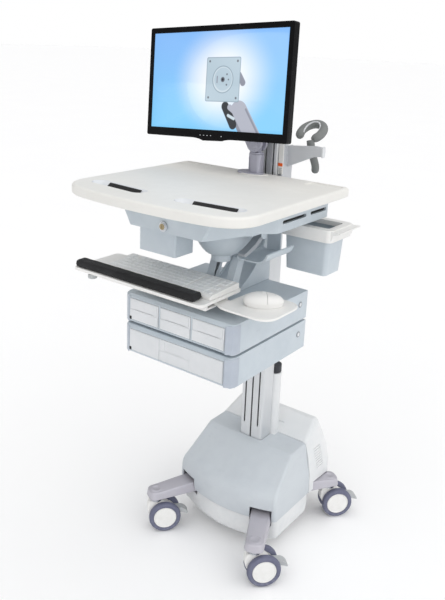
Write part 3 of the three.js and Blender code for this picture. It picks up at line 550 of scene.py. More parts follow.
def baseParts():
    for corner, (x, y, _, _) in corners.items():
        piece(f"leg_{corner}", legForm(corner), "base", "castMetal", 0.8, stands=["base_frame"])
        piece(f"leg_boss_{corner}", Form().spin([(19, 0), (21, 0.2), (21, 1.6), (19.5, 2.6), (13, 3.0),
                                                 (12, 2.4)],
                                                (x, y, 137.3)), "base", "castMetal", stands=["base_frame"])
    deck = Form().prism(roundRect(-128, 128, -74, 112, 20), "z", 113, 130.6)
    piece("base_deck", deck, "base", "castMetal", 1.5, stands=["base_frame"])
    outer = Form().skin([planRing(163, -72, 102, 45, 38, 18), planRing(170, -79, 109, 46.5, 38, 20),
                         planRing(176, -85, 115, 54, 38, 20), planRing(178, -87, 117, 66, 38, 20),
                         planRing(179, -88, 118, 92, 38, 20), planRing(179, -88, 118, 120, 38, 20)])
    inner = Form().skin([planRing(160, -70, 98, 50, 38, 18), planRing(172, -82, 111, 62, 38, 18),
                         planRing(175, -84, 114, 124, 38, 18)])
    piece("pan_shell", outer, "base", "panWhite", 1.0, [inner, *[legSpace(c, 2) for c in corners]],
          stands=["lower_pan"])
    levels = [(181.5, -91.5, 121, 38), (182.5, -95, 123.5, 38), (182.5, -98, 138, 38), (182, -99, 160, 38),
              (181, -98.5, 178, 38), (180, -97, 192, 37), (178, -91, 203, 36), (174.5, -80, 214, 34),
              (171, -58, 230, 28), (167.5, -34, 248, 22), (164, -9, 267, 15), (161.5, 9, 281, 10),
              (159, 17, 288, 7), (154, 27, 292, 4)]
    wall = baseLook["wall"]

    def hoodRings(inset, sink):
        return [planRing(half - inset, front + inset, 130, z - (4 if sink else 0), bow, 11 - inset)
                for half, front, z, bow in levels]
    piece("hood_shell", Form().skin(hoodRings(0, False)), "base", "hoodGrey", 1.0,
          [Form().skin(hoodRings(wall, True)), Form().box(-260, 260, 103.4, 200, 80, 400), *columnWells(),
           *[legSpace(c, baseLook["notch"]) for c in corners]],
          stands=["front_cover"], angle=40)
    rear = [(183.5, 44, 233, 121), (184, 44, 236, 124), (183.5, 44, 235.5, 150), (182, 44, 234, 190),
            (174, 44, 228, 240), (164, 60, 221, 275), (159, 102, 217, 292), (155.5, 125, 213.5, 304),
            (151, 149, 210, 317), (147.5, 168, 207, 327), (143, 180, 203.5, 333.5), (136, 186, 199, 336)]

    def rearRings(inset):
        return [planRing(half - inset, low, back - inset, z - (inset + 2 if inset else 0), 0,
                         min(13 - inset, (back - inset - low) / 2.2)) for half, low, back, z in rear]
    trim = Form().box(-260, 260, 0, 104.2, 80, 400)
    vents = []
    for row in range(9):
        z = 188 + row * 8.4
        for side in (-1, 1):
            vents.append(Form().prism(roundRect(148 - row, 194 - row * 1.6, z, z + 2.2, 1), "x",
                                      *sorted((side * 120, side * 260))))
    piece("rear_shell", Form().skin(rearRings(0)), "base", "panWhite", 0.8,
          [Form().skin(rearRings(wall)[:-3]), trim, *columnWells(), *vents,
           *[legSpace(c, 4) for c in corners]],
          stands=["rear_cover"], angle=40)
    slope = [(82, 284), (139.4, 284), (139.4, 310), (103, 291), (82, 291)]
    collar = Form().prism(slope, "x", -55.4, 55.4)
    piece("tube_collar", collar, "base", "panWhite", 0.6)
    keepNode("battery_pack", "darkPlastic", 1.5)
    print("base done")


# Casters
casterLook = dict(radius=50, trail=26, forkHalf=13.2)


def casterParts():
    trail, radius, half = casterLook["trail"], casterLook["radius"], casterLook["forkHalf"]
    side = [(-21, 101), (12, 101)] + curve((12, 101), (34, 97), (48, 74), 10) + [(49, 66)]
    side += curve((49, 66), (46, 48), (trail + 8, 33), 8) + curve((trail + 8, 33), (trail - 8, 27), (4, 33),
                                                                  6)
    side += curve((4, 33), (-22, 42), (-28, 66), 8) + curve((-28, 66), (-31, 92), (-21, 101), 8)[:-1]
    for corner, (x, y, _, _) in corners.items():
        place = Matrix.Translation((x, y, 0)) @ Matrix.Rotation(casterTurn, 4, "Z")
        body = f"caster_{corner}"
        bore = Form().rod((trail, -40, radius), (trail, 40, radius), 6)
        piece(f"fork_{corner}", Form().prism(side, "y", -half, half), body, "white", 4.5, [bore], place,
              [f"caster_fork_{corner}"], 5)
        piece(f"swivel_ring_{corner}", Form().spin([(14, 100), (18.5, 100.2), (19.5, 101.5), (19.5, 104),
                                                    (17, 105),
                                                    (17, 106.5), (19, 107.5), (19, 110), (16, 112.4),
                                                    (10, 112.6)],
                                                   (0, 0, 0)), body, "chrome", place=place,
              stands=[f"caster_fork_{corner}"])
        tyre, hub = Form(), Form()
        for way in (-1, 1):
            profile = [(36, 14), (46, 14.2), (48.8, 15.6), (50, 19), (50, 25), (48.6, 29.5), (45.5, 32),
                       (41, 32.6),
                       (37, 31.6), (36, 30)]
            rings = [[(trail + r * math.cos(t), way * v, radius + r * math.sin(t))
                      for t in [2 * math.pi * i / 64 for i in range(64)]] for r, v in profile]
            tyre.skin(rings, looped=True)
            disc = [(8, 15), (35.6, 15), (35.6, 30.2), (34.4, 31.4), (32.6, 31.2), (31.6, 29.8), (30, 29.6),
                    (20, 30.3), (9, 30.8), (2, 30.9)]
            hub.skin([[(trail + r * math.cos(t), way * v, radius + r * math.sin(t))
                       for t in [2 * math.pi * i / 64 for i in range(64)]] for r, v in disc])
        hub.rod((trail, -20, radius), (trail, 20, radius), 5)
        piece(f"tyres_{corner}", tyre, f"wheels_{corner}", "tyre", place=place, stands=[f"wheels_{corner}"])
        piece(f"hubs_{corner}", hub, f"wheels_{corner}", "white", 0.4, place=place,
              stands=[f"wheels_{corner}"])
        pedal = [(56, 71)] + arc(58, 63, 8, 110, 270, 8) + [(70, 55.5)] + curve((70, 55.5), (88, 52),
                                                                                (99, 47.5), 6)
        pedal += [(100.5, 51)] + curve((100.5, 51), (92, 66), (80, 69), 6)
        piece(f"pedal_{corner}", Form().prism(pedal, "y", -12.4, 12.4), f"brake_{corner}", "pedalGrey", 1.6,
              place=place, stands=[f"brake_pedal_{corner}"])
    print("casters done")


# Column
def columnParts():
    keepNode("column", "aluminium", 0.7)
    keepNode("column_cap", "paleGrey", 1.6, 3)
    keepNode("cable_tube", "panWhite", 0.8)
    keepNode("cable_tube_cap", "darkPlastic", 3.0, 4)
    keepNode("height_marker", "orange", 0.3)
    # Black strips down the column's slots: painted shade for the dark inside the slots
    columnSlotShade = Form()
    for x, low in ((0, 285), (-25, 336), (25, 336)):
        columnSlotShade.box(x - 2.4, x + 2.4, 27.6, 29.9, low + 1, 1329)
    piece("column_slot_shade", columnSlotShade, "base", "shadeBlack", 0.2)
    strip = Form().prism(roundRect(43, 57.6, 1150, 1246, 1.5), "y", 24.4, 27.8)
    piece("height_scale", strip, "lift", "white", 0.3)
    marks = Form()
    for row, far in enumerate((55, 52, 55, 52, 55)):
        marks.box(45, far, 24.1, 24.6, 1152 + row * 3.4, 1153.1 + row * 3.4)
    piece("height_scale_marks", marks, "lift", "darkPlastic")
    print("column done")


# Worktop
worktopLook = dict(half=278, front=-520, back=12, corner=9, gripRadius=12, inner=(72, -440),
                   outer=(216, -427))


def worktopRing(inset, z):
    look, steps = worktopLook, 16
    half, front, back, corner = look["half"] - inset, look["front"] + inset, look["back"] - inset, look["corner"]
    ring = arc(half - corner, back - corner, corner, 0, 90, 6) + arc(-half + corner, back - corner, corner,
                                                                     90, 180, 6)
    ring += [(-half - 1.5, -200), (-half - 3, front + 110 - inset)]

    def cubic(a, b, c, d):
        return [tuple((1 - t) ** 3 * p + 3 * t * (1 - t) ** 2 * q + 3 * t * t * (1 - t) * r + t ** 3 * s
                      for p, q, r, s in zip(a, b, c, d)) for t in [i / steps for i in range(1, steps + 1)]]
    ring += cubic((-half - 3, front + 110 - inset), (-half - 3, front + 40), (-half + 40, front + 18),
                  (-170, front + 10))
    ring += curve((-170, front + 10), (0, front - 10), (170, front + 10), 12)
    ring += cubic((170, front + 10), (half - 40, front + 18), (half + 3, front + 40),
                  (half + 3, front + 110 - inset))
    ring.append((half + 1.5, -200))
    return [(x, y, z) for x, y in ring]


def gripOutline(side, grow):
    inner, outer = Vector(worktopLook["inner"]), Vector(worktopLook["outer"])
    along, radius = outer - inner, worktopLook["gripRadius"] + grow
    heading = math.degrees(math.atan2(along.y, along.x))
    ring = arc(*outer, radius, heading - 90, heading + 90, 14) + arc(*inner, radius, heading + 90,
                                                                     heading + 270, 14)
    return [(side * x, y) for x, y in ring]


def worktopParts():
    levels = [(6, 1122), (2, 1122.8), (0, 1125.5), (0, 1140.5), (0.7, 1144), (2.4, 1146.6), (5, 1147.8),
              (8.5, 1148)]
    slab = Form().skin([worktopRing(inset, z) for inset, z in levels])
    cuts = []
    for side in (-1, 1):
        cuts.append(Form().prism(gripOutline(side, 0), "z", 1110, 1160))
        cuts.append(Form().skin([[(x, y + grow, z) for x, y in gripOutline(side, grow)] for grow, z in
                                 ((0, 1136), (9.5, 1146.2), (11.4, 1147.6), (13.4, 1148.8))]))
        span = sorted((side * 168, side * 266))
        cuts.append(Form().prism(roundRect(*span, -46, 2, 9), "z", 1145, 1160))
    slab = piece("worktop_panel", slab, "lift", "worktopWhite", 0.9, cuts, stands=["worktop"], angle=40)
    # Dark sheets on the far wall of each grip hole: painted shade for the dark inside the hole
    gripShade = Form()
    for side in (-1, 1):
        inner, outer = Vector(worktopLook["inner"]), Vector(worktopLook["outer"])
        along = (outer - inner).normalized()
        across = Vector((-along.y, along.x))
        rows = []
        inset = (22, 2) if side > 0 else (2, 22)
        for end in (inner + along * inset[0], outer - along * inset[1]):
            row = []
            for out, z in ((10.8, 1124), (10.8, 1136.6), (24.6, 1146.2), (24, 1147.4), (9.8, 1137.4),
                           (9.2, 1124)):
                spot = end + across * out
                row.append((side * spot.x, spot.y, z))
            rows.append(row)
        gripShade.skin(rows)
    piece("grip_shade_sheets", gripShade, "lift", "shadeBlack", 0.4)
    liner = Form()
    for side in (-1, 1):
        rows = [(0.4, 1124), (0.4, 1136), (11.3, 1147.5), (10.1, 1147.5), (-0.7, 1136), (-0.7, 1124)]
        liner.skin([[(x, y + max(grow, 0), z) for x, y in gripOutline(side, grow)] for grow, z in rows],
                   looped=True)
    piece("grip_liners", liner, "lift", "paleGrey", angle=25)
    collar = []
    for t in [i / 28 for i in range(29)]:
        a = math.radians(176 + 188 * t)
        collar.append((-14 + 46 * math.cos(a), -14 + 30 * math.sin(a), 1148.2))
    piece("foot_collar", Form().sweep(collar, [2.2] * len(collar), 12), "lift", "worktopWhite")
    print("worktop done")


# Housing under the worktop
housingLook = dict(top=1121.6, bottom=1052, side=1059, front=-412, slotLow=1079, slotHigh=1088)


def housingShell():
    h = housingLook

    def ring(z, keel=False):
        t = (z - h["bottom"]) / (h["top"] - h["bottom"])
        nose, ear = 120 + 38 * t, 160 + 8 * t
        wide = [(176, -285), (176, 6)] if keel else [(216, -249), (220, -240), (220, 6), (216, 10)]
        right = [(nose - 6, h["front"]), (nose, h["front"] + 5), (ear, -302), (ear + 4, -296), *wide,
                 (54, 10),
                 (54, 3.6)]
        return [(-x, y, z) for x, y in right[::-1]] + [(x, y, z) for x, y in right]
    cuts = []
    for side in (-1, 1):
        for y0, y1 in ((-222, -108), (-86, -2)):
            cuts.append(Form().prism(roundRect(y0, y1, h["slotLow"], h["slotHigh"], 4.2), "x",
                                     *sorted((side * 212, side * 240))))
    cuts.append(Form().rod((-2, h["front"] - 2, 1068), (-2, h["front"] + 8, 1068), 10.6))
    levels = (h["side"], 1075, 1092, 1108, h["top"])
    piece("housing_shell", Form().skin([ring(z) for z in levels]), "lift", "blueGrey", 1.6, cuts,
          stands=["underbody"],
          angle=28)
    low = Form().skin([ring(z, True) for z in (h["bottom"], h["side"] + 0.2)])
    lowBore = Form().rod((-2, h["front"] - 2, 1068), (-2, h["front"] + 8, 1068), 10.6)
    piece("housing_keel", low, "lift", "blueGrey", 1.2, [lowBore], stands=["underbody"])
    # Black plates set inside the housing's side vents, with a bar across each: painted shade for the dark behind
    # the slots
    ventShade = Form()
    for side in (-1, 1):
        for y0, y1 in ((-222, -108), (-86, -2)):
            middle = (h["slotLow"] + h["slotHigh"]) / 2
            ventShade.prism(roundRect(y0 + 0.4, y1 - 0.4, h["slotLow"] + 0.4, h["slotHigh"] - 0.4, 4), "x",
                        *sorted((side * 211.6, side * 213.4)))
            ventShade.prism([(y0 + 6, middle - 0.8), (y1 - 6, middle - 0.8), (y1 - 6, middle + 0.8),
                         (y0 + 6, middle + 0.8)], "x", *sorted((side * 213, side * 217)))
    piece("vent_shade_plates", ventShade, "lift", "shadeBlack", 0.3)
    lugs = Form()
    for x in (135, 161):
        lugs.prism([(-230, 1054), (-226, 1034)] + arc(-216, 1038, 9, 205, 335, 8) + [(-202, 1054)], "x", x,
                   x + 4)
    piece("lever_lugs", lugs, "lift", "blueGrey", 0.6, stands=["underbody"])


def housingParts():
    keepNode("carriage", "aluminium", 1.0)
    housingShell()
    keepNode("power_box", "blueGrey", 2.0, 3)
    keepNode("accessory_dish", "blueGrey", 0.6)
    keepNode("drawer_mount_plate", "steel", 0.6)
    keepNode("drawer_bracket", "blueGrey", 1.0)
    keepNode("lift_lever", "leverMetal", 2.0, 3)
    keepNode("key_lock", "chrome", 0.5)
    bowl = Form()
    rings = []
    for k in range(15):
        t = k / 14
        rx, ry = 30 + 60 * math.sin(t * math.pi / 2) ** 0.9, 28 + 50 * math.sin(t * math.pi / 2) ** 0.9
        z = 968 + 83.6 * (1 - math.cos(t * math.pi / 2)) ** 0.72
        rings.append([(38 + rx * math.cos(a), -228 + 20 * t + ry * math.sin(a), z)
                      for a in [2 * math.pi * i / 56 for i in range(56)]])
    piece("pivot_bowl", bowl.skin(rings), "lift", "blueGrey", 1.5, stands=["pivot_cover"], angle=50)
    lock = Form().spin([(2, 0.2), (7.6, 0), (8, 0.8), (8, 3)], (-2, -419.9, 1068), "y")
    slit = Form().box(-2.7, -1.3, -425, -419, 1063.5, 1072.5)
    piece("lock_face", lock, "lock", "brass", 0.3, [slit])
    print("housing done")


# Drawers
drawerLook = dict(opening=160, divider=5, front=-363)
drawerRows = {"upper": (758, 840, ["left", "middle", "right"]), "lower": (668, 751, ["wide"])}


def drawerParts():
    front = drawerLook["front"]
    for row, (bottom, top, names) in drawerRows.items():
        keepNode(f"{row}_drawer_case", "blueGrey", 1.2)
        for side in (-1, 1):
            cap = [(161.5, front - 1.2), (165.4, front - 1.4), (178.8, front + 7.6), (184.2, front + 21),
                   (184.2, front + 34), (183.05, front + 34), (183.05, front + 22), (178, front + 9),
                   (165, front - 0.05), (161.5, front - 0.05)]
            piece(f"{row}_case_cap_{'right' if side > 0 else 'left'}",
                  Form().prism([(side * x, y) for x, y in cap], "z", bottom + 3, top - 3), "lift", "capGrey",
                  0.6)
        for x, name in ((183.1, "right"), (-183.1, "left")):
            way = 1 if x > 0 else -1
            hub = (x, -40, (bottom + top) / 2 + 8)
            piece(f"{row}_case_plug_{name}",
                  Form().spin([(3, 0), (8.6, 0), (8.6, way * 1.2), (7.4, way * 1.9), (6.6, way * 1.1),
                               (2, way * 1.0)],
                              hub, "x", 36), "lift", "leverMetal", 0.2)
            piece(f"{row}_case_plug_core_{name}",
                  Form().spin([(2, way * 0.6), (5.6, way * 0.6), (5.6, way * 1.6), (3, way * 2.1)], hub, "x",
                              36),
                  "lift", "paleGrey", 0.2)
        width = (2 * drawerLook["opening"] - drawerLook["divider"] * (len(names) - 1)) / len(names)
        for i, name in enumerate(names):
            x0 = -drawerLook["opening"] + i * (width + drawerLook["divider"])
            x1, floor = x0 + width, bottom + 11
            middle = (x0 + x1) / 2
            keepNode(f"drawer_{name}", "paleGrey", 0.7)
            low, high, split = floor + 0.6, top - 11.6, floor + (top - 11 - floor) * 0.5
            if name == "wide":
                raised = [(x0 + 2, middle - 52, low, high), (middle + 52, x1 - 2, low, high),
                          (middle - 51, middle + 51, low, split)]
            else:
                raised = [(x0 + 2, x1 - 2, low, split), (x0 + 6, x1 - 6, split + 1.4, high)]
            for k, (a, b, c, d) in enumerate(raised):
                face = front - (3.2 if k < 1 or name == "wide" and k < 2 else 2.2)
                panel = [(face + 1.2, c), (face, c + 1.2), (face, d - 2.5), (face + 1.6, d), (front - 0.9, d),
                         (front - 0.9, c)]
                piece(f"front_step_{name}_{k}", Form().prism(panel, "x", a, b), f"drawer_{name}", "paleGrey",
                      0.5)
            # A small black patch on the left and wide drawers: painted shade for the latch opening
            if name in ("left", "wide"):
                piece(f"latch_mark_{name}", Form().prism(roundRect(x0 + 1.5, x0 + 8.5, floor + 1, floor + 10,
                                                                   1), "y",
                                                         front - 4.2, front - 3.1), f"drawer_{name}",
                      "shadeBlack", 0.3)
    print("drawers done")


# Keyboard arm, tray, keyboard, mouse
keyLook = dict(gap=1.5, height=3.2, draft=1.2)


def keyboardParts():
    keepNode("keyboard_arm", "blueGrey", 1.2)
    keepNode("keyboard_tray", "white", 1.2)
    keepNode("mouse_tray", "white", 1.6, 3)
    tilt = math.atan2(6, 110)
    body = Form().prism([(-366, 890.4), (-242, 890.4), (-242, 904.5), (-246, 907.4), (-360, 901.2),
                         (-366, 897)], "x",
                        -262, 112)
    wells = [Form().prism([(-357, 900.6), (-249, 906.6), (-249, 920), (-357, 920)], "x", x0, x1)
             for x0, x1 in ((-254.5, 17.5), (22.5, 104))]
    piece("keyboard_base", body, "keyboard_unit", "white", 1.0, wells, stands=["keyboard"])
    keys = Form()
    rows = [[1] * 13 + [1.2], [1.4] + [1] * 12 + [0.8], [1.7] + [1] * 11 + [1.5], [2.2] + [1] * 10 + [2.0],
            [1.2, 1.0, 1.2, 6.2, 1.2, 1.0, 1.2, 1.2]]
    top = [1, None] + [1] * 12

    def key(x0, x1, y0, y1):
        lift, deep = keyLook["height"], keyLook["draft"]
        rings = []
        for inset, rise in ((0, 0), (deep * 0.35, lift * 0.8), (deep, lift), (deep + 1.2, lift - 0.25)):
            rings.append([(x, y, 900.2 + (y + 357) * math.tan(tilt) + rise) for x, y in
                          roundRect(x0 + inset, x1 - inset, y0 + inset, y1 - inset, 1.6, 2)])
        keys.skin(rings)

    pitchY = 17.6
    for r, row in enumerate([top] + rows):
        span = 272 - 2 * 1.5
        total = sum(w or 0.8 for w in row)
        x, y1 = -253, -250.5 - r * pitchY
        for w in row:
            step = span * (w or 0.8) / total
            if w:
                key(x, x + step - keyLook["gap"], y1 - pitchY + keyLook["gap"], y1)
            x += step
    for r in range(6):
        y1, x = -250.5 - r * pitchY, 24
        for c in range(4):
            if (r, c) not in ((2, 3), (4, 3)):
                key(x, x + 19.6 - keyLook["gap"], y1 - pitchY + keyLook["gap"], y1)
            x += 19.6
    piece("keyboard_keys", keys, "keyboard_unit", "keyGrey", stands=["keyboard"], angle=50)
    knob = Form()
    rings = []
    for r, z in ((10, 858), (12.2, 858.8), (13, 860.6), (13, 868.6), (12, 870.2), (8.2, 870.8), (8, 881.4)):
        flute = 0.7 if r > 12 else 0
        rings.append([((r - flute * (1 + math.cos(12 * a)) / 2) * math.cos(a) - 290,
                       (r - flute * (1 + math.cos(12 * a)) / 2) * math.sin(a) - 378, z)
                      for a in [2 * math.pi * i / 72 for i in range(72)]])
    piece("tilt_knob_cap", knob.skin(rings), "keyboard_unit", "pedalGrey", stands=["tilt_knob"])
    wristPad()
    mouseParts()
    print("keyboard tray done")


padSizes = dict(left=-328, right=92, front=-407, back=-370, bottom=890.4, top=911, seam=0.9)


def wristPad():
    p = padSizes
    middleY, deep = (p["front"] + p["back"]) / 2, (p["back"] - p["front"]) / 2
    tall, rings, count = p["top"] - p["bottom"], [], 140
    for k in range(count + 1):
        t = k / count
        x = p["left"] + (p["right"] - p["left"]) * t
        end = min(x - p["left"], p["right"] - x)
        shrink = math.sqrt(max(1 - (1 - min(end / 7, 1)) ** 2, 0)) if end < 7 else 1
        shrink = max(shrink, 0.3)
        ring = []
        for i in range(40):
            a = 2 * math.pi * i / 40
            cx = math.copysign(abs(math.cos(a)) ** 0.42, math.cos(a))
            cz = math.copysign(abs(math.sin(a)) ** 0.5, math.sin(a))
            sag = 0.35 * math.sin(x * 0.11) * math.sin(x * 0.043 + 1)  # the foam isn't quite even
            y = middleY + cx * (deep - 0.4) * (0.72 + 0.28 * shrink)
            z = p["bottom"] + tall * 0.42 + cz * (tall * (0.42 if cz < 0 else 0.58)) * shrink
            if abs(cz) < 0.22:
                y += math.copysign(-p["seam"] * (1 - abs(cz) / 0.22), cx)  # pulled in along the seam
            ring.append((x, y, z + (sag * shrink if cz > 0.3 else 0)))
        rings.append(ring)
    pad = piece("wrist_pad", Form().skin(rings), "keyboard_unit", "softBlack", stands=["wrist_rest"])
    beads = Form()
    for y in (p["front"] + 1.1, p["back"] - 1.1):
        beads.rod((p["left"] + 12, y, p["bottom"] + tall * 0.42),
                  (p["right"] - 12, y, p["bottom"] + tall * 0.42), 0.5, 10)
    piece("wrist_pad_piping", beads, "keyboard_unit", "softBlack")


mouseLook = dict(x=204, y=-262, half=31, long=52, floor=874.4, rise=33)


def mouseParts():
    m, rings = mouseLook, []
    for k in range(15):
        t = k / 14
        scale = 0.93 + 0.07 * math.sin(t * math.pi * 0.9) if t < 0.3 else (1 - ((t - 0.25) / 0.75) ** 2.4
                                                                           * 0.96)
        z = m["floor"] + m["rise"] * (t ** 1.0 if t < 0.3 else 0.3 + 0.7
                                      * math.sin((t - 0.3) / 0.7 * math.pi / 2))
        ring = []
        for i in range(48):
            a = 2 * math.pi * i / 48
            lean = 1 - 0.10 * max(math.sin(a), 0)
            top = z - 3.5 * max(math.sin(a), 0) * t  # lower at the buttons
            ring.append((m["half"] * scale * math.cos(a) * lean, m["long"] * scale * math.sin(a) - 4 * t,
                         top))
        rings.append(ring)
    place = Matrix.Translation((m["x"], m["y"], 0)) @ Matrix.Rotation(math.radians(-50), 4, "Z")
    cuts = [Form().box(-0.5, 0.5, 6, 70, 880, 920), Form().box(-40, 40, 5, 6, 886, 920)]
    piece("mouse_shell", Form().skin(rings), "mouse_shelf", "white", 0.3, cuts, place, ["mouse"], angle=45)
    wheel = Form().spin([(3, -2.6), (7, -2.4), (7.6, -1.2), (7.6, 1.2), (7, 2.4), (3, 2.6)], (0, 26, 894.5),
                        "x", 32)
    piece("mouse_wheel", wheel, "mouse_shelf", "pedalGrey", 0.3, place=place, stands=["mouse"])


# Bin and scanner holder
def binParts():
    keepNode("bin", "blueGrey", 1.6, 3)
    keepNode("bin_frame", "white", 1.5, 3)
    print("bin done")


cradleLook = dict(x=92, y=116, z=1266, ring=33, tube=12.5, rise=0.6)


def smoothPath(points, count):  # a Catmull-Rom path through the points
    made, ends = [], [points[0]] + list(points) + [points[-1]]
    for i in range(1, len(ends) - 2):
        a, b, c, d = [Vector(p) for p in ends[i - 1:i + 3]]
        for k in range(count):
            t = k / count
            made.append(0.5 * ((2 * b) + (c - a) * t + (2 * a - 5 * b + 4 * c - d) * t * t
                               + (3 * b - a - 3 * c + d) * t ** 3))
    return made + [Vector(points[-1])]


def scannerParts():
    keepNode("scanner_bracket", "bracketMetal", 1.6, 3)
    end = Form().prism(roundRect(51, 67, 1207, 1237, 3), "x", 163, 167.5)
    piece("bracket_end_cap", end, "lift", "paleGrey", 1.2)
    c, arcPoints = cradleLook, []
    for i in range(33):
        a = -1.05 + i / 32 * (2 * math.pi - 1.25)
        back = c["ring"] * math.sin(a)
        arcPoints.append((c["x"] + c["ring"] * math.cos(a), c["y"] + back, c["z"] + c["rise"] * back))
    radii = [c["tube"] * math.sqrt(1 - (1 - min(min(i, 32 - i) / 3 + 0.08, 1)) ** 2) for i in range(33)]
    ring = Form().sweep(arcPoints, radii, 24)
    tail = smoothPath([(106, 86, 1246), (112, 84, 1226), (118, 88, 1200), (120, 100, 1174),
                       (114, 112, 1154)], 8)
    tailRadii = [11 * (math.sqrt(1 - (1 - min((len(tail) - 1 - i) / 4 + 0.1, 1)) ** 2))
                 for i in range(len(tail))]
    piece("cradle_hoop", ring, "lift", "greyRubber", stands=["scanner_cradle"])
    piece("cradle_tail", Form().sweep(tail, tailRadii, 24), "lift", "greyRubber", stands=["scanner_cradle"])
    piece("cradle_boss", Form().spin([(8, 0), (12, 0), (13, 2), (13, 14), (10, 17)], (112, 66.5, 1216), "y",
                                     32), "lift",
          "greyRubber", 0.8, stands=["scanner_cradle"])
    lip = [(x + (c["x"] - x) * 0.3, y + (c["y"] - y) * 0.3, z + 7.5) for x, y, z in arcPoints[2:-2]]
    piece("cradle_lip", Form().sweep(lip, [2.4] * len(lip), 12), "lift", "paleGrey")
    print("scanner holder done")


# Monitor arm and monitor
def armParts():
    for node in ("arm_post", "arm_turret", "arm_link", "arm_head", "tilt_head"):
        keepNode(node, "armMetal", 1.4, 3)
    caps = Form()
    for x, z, r in ((-8, 1234, 15), (-78, 1350, 14)):
        caps.spin([(4, 0), (r, 0), (r, -1.2), (r - 2, -2.4), (4, -2.6)], (x, -30.0, z), "y", 40)
        caps.spin([(4, 0), (r, 0), (r, 1.2), (r - 2, 2.4), (4, 2.6)], (x, 6.0, z), "y", 40)
    piece("arm_pivot_caps", caps, "link", "armMetal", 0.4)
    # A black plate in the arm post's slot: painted shade for the dark inside it
    postSlotShade = Form().prism(roundRect(-22.6, -15.4, 1157, 1195, 1), "y", -22.4, -22.0)
    piece("post_slot_shade", postSlotShade, "lift", "shadeBlack")
    bolts = Form()
    for x in (-50, 50):
        for z in (-50, 50):
            bolts.spin([(1.2, -0.4), (4.2, -0.2), (4.6, 0.8), (4.4, 2.6), (3, 3.2), (1.2, 3.2)],
                       (x, -16.1, z), "y", 24)
    piece("plate_bolts", bolts, "mount_plate", "chrome", place=screenPlace)
    keepNode("vesa_plate", "aluminium", 0.6)
    print("arm done")


monitorLook = dict(half=254.5, top=150, bottom=-158, front=-63.4, glassHalf=239, glassTop=134.5, marks=4)


def monitorParts():
    m = monitorLook
    keepNode("monitor_back", "glossBlack", 1.6, 3)
    keepNode("display_panel", "display", 0)
    outline = arc(m["half"] - 6, m["top"] - 6, 6, 0, 90, 6) + arc(-m["half"] + 6, m["top"] - 6, 6, 90, 180, 6)
    outline += arc(-m["half"] + 6, m["bottom"] + 6, 6, 180, 270, 6) + [(-70, m["bottom"])]
    outline += curve((-70, m["bottom"]), (-46, m["bottom"] - 1), (-32, m["bottom"] - 7), 6)
    outline += curve((32, m["bottom"] - 7), (46, m["bottom"] - 1), (70, m["bottom"]), 6)
    outline += arc(m["half"] - 6, m["bottom"] + 6, 6, 270, 360, 6)
    bezel = Form().prism(outline, "y", m["front"], m["front"] + 4.6)
    window = Form().prism(roundRect(-m["glassHalf"], m["glassHalf"], -m["glassTop"], m["glassTop"], 1, 2),
                          "y",
                          m["front"] - 5, m["front"] + 20)
    piece("bezel_frame", bezel, "monitor", "glossBlack", 1.6, [window], monitorPlace, ["monitor_bezel"])
    marks = Form()
    for k in range(m["marks"]):
        x = -44 + k * 13
        marks.prism(roundRect(x, x + 4.5, -150.6, -149.2, 0.6, 3), "y", m["front"] - 0.35, m["front"] + 0.2)
    piece("menu_marks", marks, "monitor", "paleGrey", place=monitorPlace)
    lamp = Form().spin([(0.6, 0), (1.6, 0), (1.6, -0.5), (0.6, -0.7)], (36, m["front"], -150), "y", 20)
    piece("power_lamp", lamp, "monitor", "aluminium", place=monitorPlace)
    vents = [Form().prism(roundRect(-90 + k * 9, -86 + k * 9, 44, 64, 1.8, 4), "y", -30, -12)
             for k in range(21)]
    panel = Form().prism(roundRect(-98, 98, 38, 70, 4), "y", -22.2, -18.4)
    piece("vent_panel", panel, "monitor", "darkPlastic", 0.4, vents, monitorPlace)
    print("monitor done")


baseParts()
casterParts()
columnParts()
worktopParts()
housingParts()
drawerParts()
keyboardParts()
binParts()
scannerParts()
armParts()
monitorParts()


# Studio
studioLook = dict(low=0.32, high=1.46, softbox=(0.45, -0.25, 0.86), backdrop=1.0, floorHalf=60)


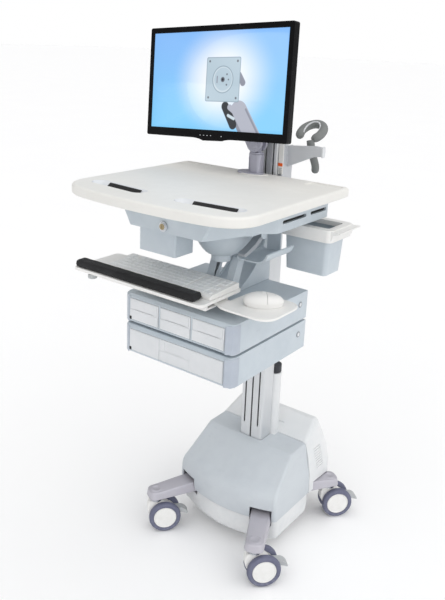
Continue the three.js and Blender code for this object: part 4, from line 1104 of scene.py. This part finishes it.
def studio():
    scene, look = bpy.context.scene, studioLook
    scene.view_settings.view_transform = "Standard"
    world = bpy.data.worlds.new("studio")
    world.use_nodes = True
    scene.world = world
    sky = Shading(world.node_tree, "Background")
    toward = sky.node("ShaderNodeTexCoord", output="Generated")
    softbox = tuple(Vector(look["softbox"]).normalized())
    facing = sky.node("ShaderNodeVectorMath", {"operation": "DOT_PRODUCT"}, {0: toward, 1: softbox}, "Value")
    glow = sky.step(facing, 0, 0.95, look["low"], look["high"])
    seen = sky.node("ShaderNodeLightPath", output="Is Camera Ray")
    sky.give("Color", (1, 1, 1, 1))
    sky.give("Strength", glow + (look["backdrop"] - glow) * seen)  # the backdrop stays plain
    half = studioLook["floorHalf"]
    ground = bmesh.new()
    bmesh.ops.create_grid(ground, x_segments=1, y_segments=1, size=half)
    data = bpy.data.meshes.new("studio_floor")
    ground.to_mesh(data)
    ground.free()
    floor = bpy.data.objects.new("studio_floor", data)
    floor.data.materials.append(finishes["floor"])
    scene.collection.objects.link(floor)


cameraLook = dict(place=(1.1457, -1.57734, 1.5173), yaw=36.51, pitch=15.71, roll=2.27, lens=42.93,
                  shiftX=0.0083,
                  shiftY=-0.1027)


def camera():
    look = cameraLook
    yaw, pitch, roll = [math.radians(look[k]) for k in ("yaw", "pitch", "roll")]
    ahead = Vector((-math.sin(yaw) * math.cos(pitch), math.cos(yaw) * math.cos(pitch), -math.sin(pitch)))
    right = Vector((math.cos(yaw), math.sin(yaw), 0))
    up = right.cross(ahead)
    tiltedRight = right * math.cos(roll) + up * math.sin(roll)
    tiltedUp = up * math.cos(roll) - right * math.sin(roll)
    lens = bpy.data.cameras.new("camera")
    lens.sensor_fit, lens.sensor_height, lens.lens = "VERTICAL", 36, look["lens"]
    lens.shift_x, lens.shift_y = look["shiftX"], look["shiftY"]
    item = bpy.data.objects.new("camera", lens)
    item.matrix_world = Matrix.Translation(look["place"]) @ Matrix((tiltedRight, tiltedUp,
                                                                    -ahead)).transposed().to_4x4()
    bpy.context.scene.collection.objects.link(item)
    bpy.context.scene.camera = item


studio()
camera()
